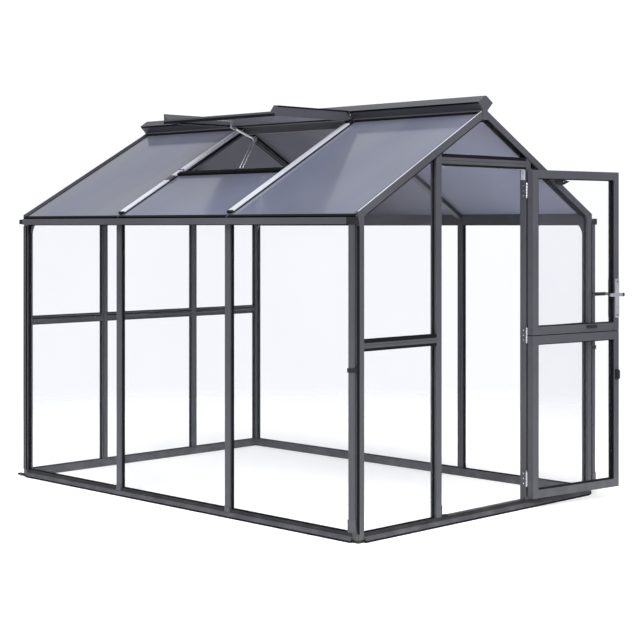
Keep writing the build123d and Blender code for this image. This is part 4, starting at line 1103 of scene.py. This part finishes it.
class GREENHOUSE_OT_fit_hinge_sleeves(bpy.types.Operator):
    """Puts bright knuckles with rounded ends on the three door hinges"""

    bl_idname = "greenhouse.fit_hinge_sleeves"
    bl_label = "Fit the hinge sleeves"

    levels = (1.6377, 0.874, 0.117)
    height, knuckles, gap = 0.078, 5, 0.0008
    tip_share, tip_height = 0.7, 0.003
    rounding = 0.0005

    def execute(self, context):
        radius = context.scene.greenhouse_sizes.knuckle_radius
        shape = bmesh.new()
        step, tip = self.height / self.knuckles, self.tip_height
        for level in self.levels:
            rods = [
                (radius, level + count * step, step - self.gap) for count in range(self.knuckles)
            ]
            for low in (level - tip, level + self.height):
                rods.append((radius * self.tip_share, low, tip))
            for width, low, height in rods:
                add_rod(shape, HINGE_LINE + UP * low, UP, width, height, self.rounding)
        make_piece(shape, "hinge_sleeves", "Brushed steel")
        return {"FINISHED"}


class GREENHOUSE_OT_fit_sleeves(bpy.types.Operator):
    """Slips a sleeve over the tube of the vent stay and a shoe over the foot of each downpipe"""

    bl_idname = "greenhouse.fit_sleeves"
    bl_label = "Fit the sleeves"

    stay_start = Vector((-0.508, 0, 2.0374))
    stay_knuckle = Vector((-0.3383, 0, 1.9776))
    sleeve_from, sleeve_to, sleeve_rounding = 0.025, 0.164, 0.0012
    pipe_middle = (0.972, -1.358)
    shoe_half = (0.0156, 0.0116)
    shoe_foot, shoe_height, shoe_wall = 0.057, 0.060, 0.0016

    def execute(self, context):
        sleeve, shoes = bmesh.new(), bmesh.new()
        axis = (self.stay_knuckle - self.stay_start).normalized()
        start = self.stay_start + axis * self.sleeve_from
        radius = context.scene.greenhouse_sizes.sleeve_radius
        length = self.sleeve_to - self.sleeve_from
        add_rod(sleeve, start, axis, radius, length, self.sleeve_rounding)
        for side in SIDES:
            self.add_shoe(shoes, side)
        make_piece(sleeve, "stay_sleeve", "Dull steel", "stay_tube")
        make_piece(shoes, "pipe_shoes", "Powder coat")
        return {"FINISHED"}

    def add_shoe(self, shape, side):
        width, depth = self.shoe_half
        place = Vector((side * self.pipe_middle[0], self.pipe_middle[1], self.shoe_foot))
        mouth = shape.faces.new([
            shape.verts.new(place + RIGHT * across + BACK * along)
            for across, along in rectangle((-width, -depth), (width, depth))
        ])
        bmesh.ops.inset_individual(shape, faces=[mouth], thickness=self.shoe_wall)
        rim = [face for edge in mouth.edges for face in edge.link_faces if face is not mouth]
        bmesh.ops.delete(shape, geom=[mouth], context="FACES_ONLY")
        grown = bmesh.ops.extrude_face_region(shape, geom=rim)
        bmesh.ops.translate(shape, verts=verts_of(grown), vec=UP * self.shoe_height)


class GREENHOUSE_OT_fit_post_shoes(bpy.types.Operator):
    """Laps a plate from the foot of each side post over the sill"""

    bl_idname = "greenhouse.fit_post_shoes"
    bl_label = "Fit the post shoes"

    foot, height, thickness, rounding = 0.0295, 0.032, 0.0028, 0.0008

    def execute(self, context):
        shape = bmesh.new()
        low, high = (0, -BAR / 2), (self.thickness, BAR / 2)
        for side in SIDES:
            for line in BAR_LINES:
                start = Vector((side * HALF_WIDTH, line, self.foot))
                place = axes_frame(start, UP, RIGHT * side, BACK)
                add_block(shape, low, high, self.height, place, self.rounding)
        make_piece(shape, "post_shoes", "Powder coat")
        return {"FINISHED"}


class GREENHOUSE_OT_fit_grips(bpy.types.Operator):
    """Slips a black grip over the outer door lever and a cap over the inner one's neck; their black
    is painted shade and painted dark reflection on the levers
    """

    bl_idname = "greenhouse.fit_grips"
    bl_label = "Fit the grips"

    level, half_height, rounding = 1.114, 0.0098, 0.004
    # Near and far side out of the leaf, start and stop along it from the free stile
    grips = ((-0.0983, -0.0827, -0.010, 0.0098), (0.0317, 0.0473, -0.0998, 0.0098))

    def execute(self, context):
        shape = bmesh.new()
        # The black pieces paint shade and a dark reflection on the levers.
        for near, far, start, stop in self.grips:
            place = leaf_frame(FREE_STILE + start, self.level)
            low, high = (near, -self.half_height), (far, self.half_height)
            add_block(shape, low, high, stop - start, place, self.rounding)
        make_piece(shape, "lever_grips", "Black moulding", "door_lever")
        return {"FINISHED"}


class GREENHOUSE_OT_drive_screws(bpy.types.Operator):
    """Drives screws into plates, hinges, brackets and ears, and sets the lock cylinders"""

    bl_idname = "greenhouse.drive_screws"
    bl_label = "Drive the screws"

    # Levels and places of the heads, and their shares of the usual radius
    plate_levels, plate_share = (1.001, 1.184), 1
    lock_levels, lock_share, lock_sunk = (1.042,), 1.35, 0.002
    latch_level, latch_share, latch_base = 0.6525, 0.7, 0.005
    hinge_levels, hinge_rises = (1.6767, 0.913, 0.156), (-0.026, 0, 0.026)
    hinge_place, hinge_share = (0.3409, -1.359), 0.9
    bracket_levels, bracket_place, bracket_share = (1.7445, 1.7685), (0.3395, -1.355), 0.8
    ear_place, bright_share, catch_height = (-0.0485, 0.4647, 2.103), 1.1, 0.6
    flush = 0.0003

    def execute(self, context):
        sizes = context.scene.greenhouse_sizes
        proud = sizes.screw_height
        handles = self.plate_spots(self.plate_levels, 0, self.plate_share, proud)
        locks = self.plate_spots(self.lock_levels, self.lock_sunk, self.lock_share, proud)
        for name, material, body, spots in (
            ("handle_screws", "Black moulding", "upper_leaf", handles),
            ("lock_cylinders", "Brushed steel", "upper_leaf", locks),
            ("latch_screws", "Brushed steel", "lower_leaf", self.latch_spots(proud)),
            ("hinge_screws", "Brushed steel", "house", self.hinge_spots()),
            ("bracket_screws", "Brushed steel", "house", self.bracket_spots()),
            ("bright_screws", "Brushed steel", "house", self.bright_spots(proud)),
        ):
            shape = bmesh.new()
            for point, outward, share, height in spots:
                add_screw(shape, point, outward, sizes.screw_radius * share, height)
            make_piece(shape, name, material, body)
        return {"FINISHED"}

    def plate_spots(self, levels, sunk, share, proud):
        inner = LEAF_INNER_FACE - PLATE_THICKNESS + sunk
        outer = LEAF_OUTER_FACE + PLATE_THICKNESS - sunk
        return [
            (leaf_point(FREE_STILE, face, level), outward, share, proud)
            for level in levels for face, outward in ((inner, -LEAF_OUT), (outer, LEAF_OUT))
        ]

    def latch_spots(self, proud):
        place = leaf_point(FREE_STILE, LEAF_INNER_FACE - self.latch_base, self.latch_level)
        return [(place, -LEAF_OUT, self.latch_share, proud * self.latch_share)]

    def hinge_spots(self):
        return [
            (Vector((*self.hinge_place, level + rise)), LEFT, self.hinge_share, self.flush)
            for level in self.hinge_levels for rise in self.hinge_rises
        ]

    def bracket_spots(self):
        across, along = self.bracket_place
        return [
            (Vector((side * across, along, level)), RIGHT * -side, self.bracket_share, self.flush)
            for side in SIDES for level in self.bracket_levels
        ]

    def bright_spots(self, proud):
        low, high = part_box("door_catch")
        middle = Vector(((low.x + high.x) / 2, low.y, (low.z + high.z) / 2))
        spots = [(middle, FRONT, self.bright_share, proud * self.catch_height)]
        across, along, level = self.ear_place
        for side in SIDES:
            place = Vector((across, side * along, level))
            spots.append((place, BACK * side, self.bright_share, proud))
        return spots


class GREENHOUSE_OT_set_stage(bpy.types.Operator):
    """Sets the pale floor, the soft lights and the camera"""

    bl_idname = "greenhouse.set_stage"
    bl_label = "Set the stage"

    floor_radius, floor_segments = 6, 96
    fade_from, fade_to = 2.5, 5.5
    camera_place = (-6.120, -6.285, 1.4857)
    camera_turn = (math.radians(90), 0, math.radians(-45.07))
    sensor_width, lens, shift_up = 36, 85.70, -0.1456
    sky_colour, sky_light, sky_shown = (0.94, 0.95, 1, 1), 0.62, 1.1
    # Name, place, target, size and power
    lights = (
        ("Key light", (-7.0, -3.0, 6.0), (0, 0, 1.0), 5.0, 620),
        ("Front light", (-1.0, -8.5, 4.6), (0, -0.5, 1.4), 4.0, 470),
        ("Top light", (-0.5, -0.5, 8.5), (0, 0, 1.2), 6.0, 320),
    )

    def execute(self, context):
        self.lay_floor(context)
        self.hang_lights(context)
        self.paint_world(context)
        self.place_camera(context)
        context.scene.view_settings.view_transform = "Standard"
        return {"FINISHED"}

    def lay_floor(self, context):
        shape = bmesh.new()
        bmesh.ops.create_circle(
            shape, cap_ends=True, segments=self.floor_segments, radius=self.floor_radius
        )
        mesh = bpy.data.meshes.new("studio_floor")
        shape.to_mesh(mesh)
        shape.free()
        floor = bpy.data.objects.new("studio_floor", mesh)
        mesh.materials.append(self.make_floor(context.scene.greenhouse_finishes.floor))
        context.scene.collection.objects.link(floor)

    def make_floor(self, colour):
        material, tree, shader = new_material("Studio floor")
        place = object_place(tree)
        drift = add_range(tree, add_noise(tree, place, 0.8, 3), 0, 1)
        reach = add_node(tree, "ShaderNodeVectorMath", {0: place}, operation="LENGTH")
        fade = add_range(tree, reach.outputs["Value"], 1, 0, self.fade_from, self.fade_to)
        set_inputs(tree, shader, {
            "Base Color": add_mix(tree, drift, tint(colour, 0.985), tint(colour, 1.01)),
            "Alpha": fade,
            "Roughness": 0.85,
            "Emission Color": (1, 1, 1, 1),
            "Emission Strength": 0.28,
            "Specular IOR Level": 0.1,
        })
        return material

    def hang_lights(self, context):
        for name, place, target, size, power in self.lights:
            data = bpy.data.lights.new(name, "AREA")
            data.shape = "DISK"
            data.size = size
            data.energy = power
            lamp = bpy.data.objects.new(name, data)
            lamp.location = place
            aim = Vector(target) - Vector(place)
            lamp.rotation_euler = aim.to_track_quat("-Z", "Y").to_euler()
            context.scene.collection.objects.link(lamp)

    def paint_world(self, context):
        world = bpy.data.worlds.new("White studio")
        context.scene.world = world
        world.use_nodes = True
        tree = world.node_tree
        path = tree.nodes.new("ShaderNodeLightPath").outputs["Is Camera Ray"]
        strength = add_range(tree, path, self.sky_light, self.sky_shown, 0, 1)
        set_inputs(tree, tree.nodes["Background"], {
            "Color": self.sky_colour, "Strength": strength,
        })

    def place_camera(self, context):
        data = bpy.data.cameras.new("Photo camera")
        data.sensor_fit = "HORIZONTAL"
        data.sensor_width = self.sensor_width
        data.lens = self.lens
        data.shift_y = self.shift_up
        camera = bpy.data.objects.new("Photo camera", data)
        camera.location = self.camera_place
        camera.rotation_euler = self.camera_turn
        context.scene.collection.objects.link(camera)
        context.scene.camera = camera


class GREENHOUSE_PT_panel(bpy.types.Panel):
    """Lists the steps that dress the greenhouse"""

    bl_idname = "GREENHOUSE_PT_panel"
    bl_label = "Greenhouse"
    bl_space_type = "VIEW_3D"
    bl_region_type = "UI"
    bl_category = "Greenhouse"

    def draw(self, context):
        column = self.layout.column()
        for step in STEPS:
            column.operator(step.bl_idname)
        for group in (context.scene.greenhouse_sizes, context.scene.greenhouse_finishes):
            for name in group.__annotations__:
                column.prop(group, name)


STEPS = (
    GREENHOUSE_OT_set_stage,
    GREENHOUSE_OT_coat_bars,
    GREENHOUSE_OT_slim_bars,
    GREENHOUSE_OT_glaze_panes,
    GREENHOUSE_OT_finish_fittings,
    GREENHOUSE_OT_fit_beads,
    GREENHOUSE_OT_fit_cap_trim,
    GREENHOUSE_OT_fit_verge_trim,
    GREENHOUSE_OT_fit_vent_seals,
    GREENHOUSE_OT_fit_drip_strips,
    GREENHOUSE_OT_fit_rail_seals,
    GREENHOUSE_OT_fit_hinge_sleeves,
    GREENHOUSE_OT_fit_sleeves,
    GREENHOUSE_OT_fit_post_shoes,
    GREENHOUSE_OT_fit_grips,
    GREENHOUSE_OT_drive_screws,
)
CLASSES = (GreenhouseSizes, GreenhouseFinishes) + STEPS + (GREENHOUSE_PT_panel,)


def register():
    for entry in CLASSES:
        bpy.utils.register_class(entry)
    bpy.types.Scene.greenhouse_sizes = PointerProperty(type=GreenhouseSizes)
    bpy.types.Scene.greenhouse_finishes = PointerProperty(type=GreenhouseFinishes)


def unregister():
    del bpy.types.Scene.greenhouse_finishes
    del bpy.types.Scene.greenhouse_sizes
    for entry in reversed(CLASSES):
        bpy.utils.unregister_class(entry)


def main():
    register()
    bpy.ops.greenhouse.set_stage()
    bpy.ops.greenhouse.coat_bars()
    bpy.ops.greenhouse.slim_bars()
    bpy.ops.greenhouse.glaze_panes()
    bpy.ops.greenhouse.finish_fittings()
    bpy.ops.greenhouse.fit_beads()
    bpy.ops.greenhouse.fit_cap_trim()
    bpy.ops.greenhouse.fit_verge_trim()
    bpy.ops.greenhouse.fit_vent_seals()
    bpy.ops.greenhouse.fit_drip_strips()
    bpy.ops.greenhouse.fit_rail_seals()
    bpy.ops.greenhouse.fit_hinge_sleeves()
    bpy.ops.greenhouse.fit_sleeves()
    bpy.ops.greenhouse.fit_post_shoes()
    bpy.ops.greenhouse.fit_grips()
    bpy.ops.greenhouse.drive_screws()


if __name__ == "__main__":
    main()
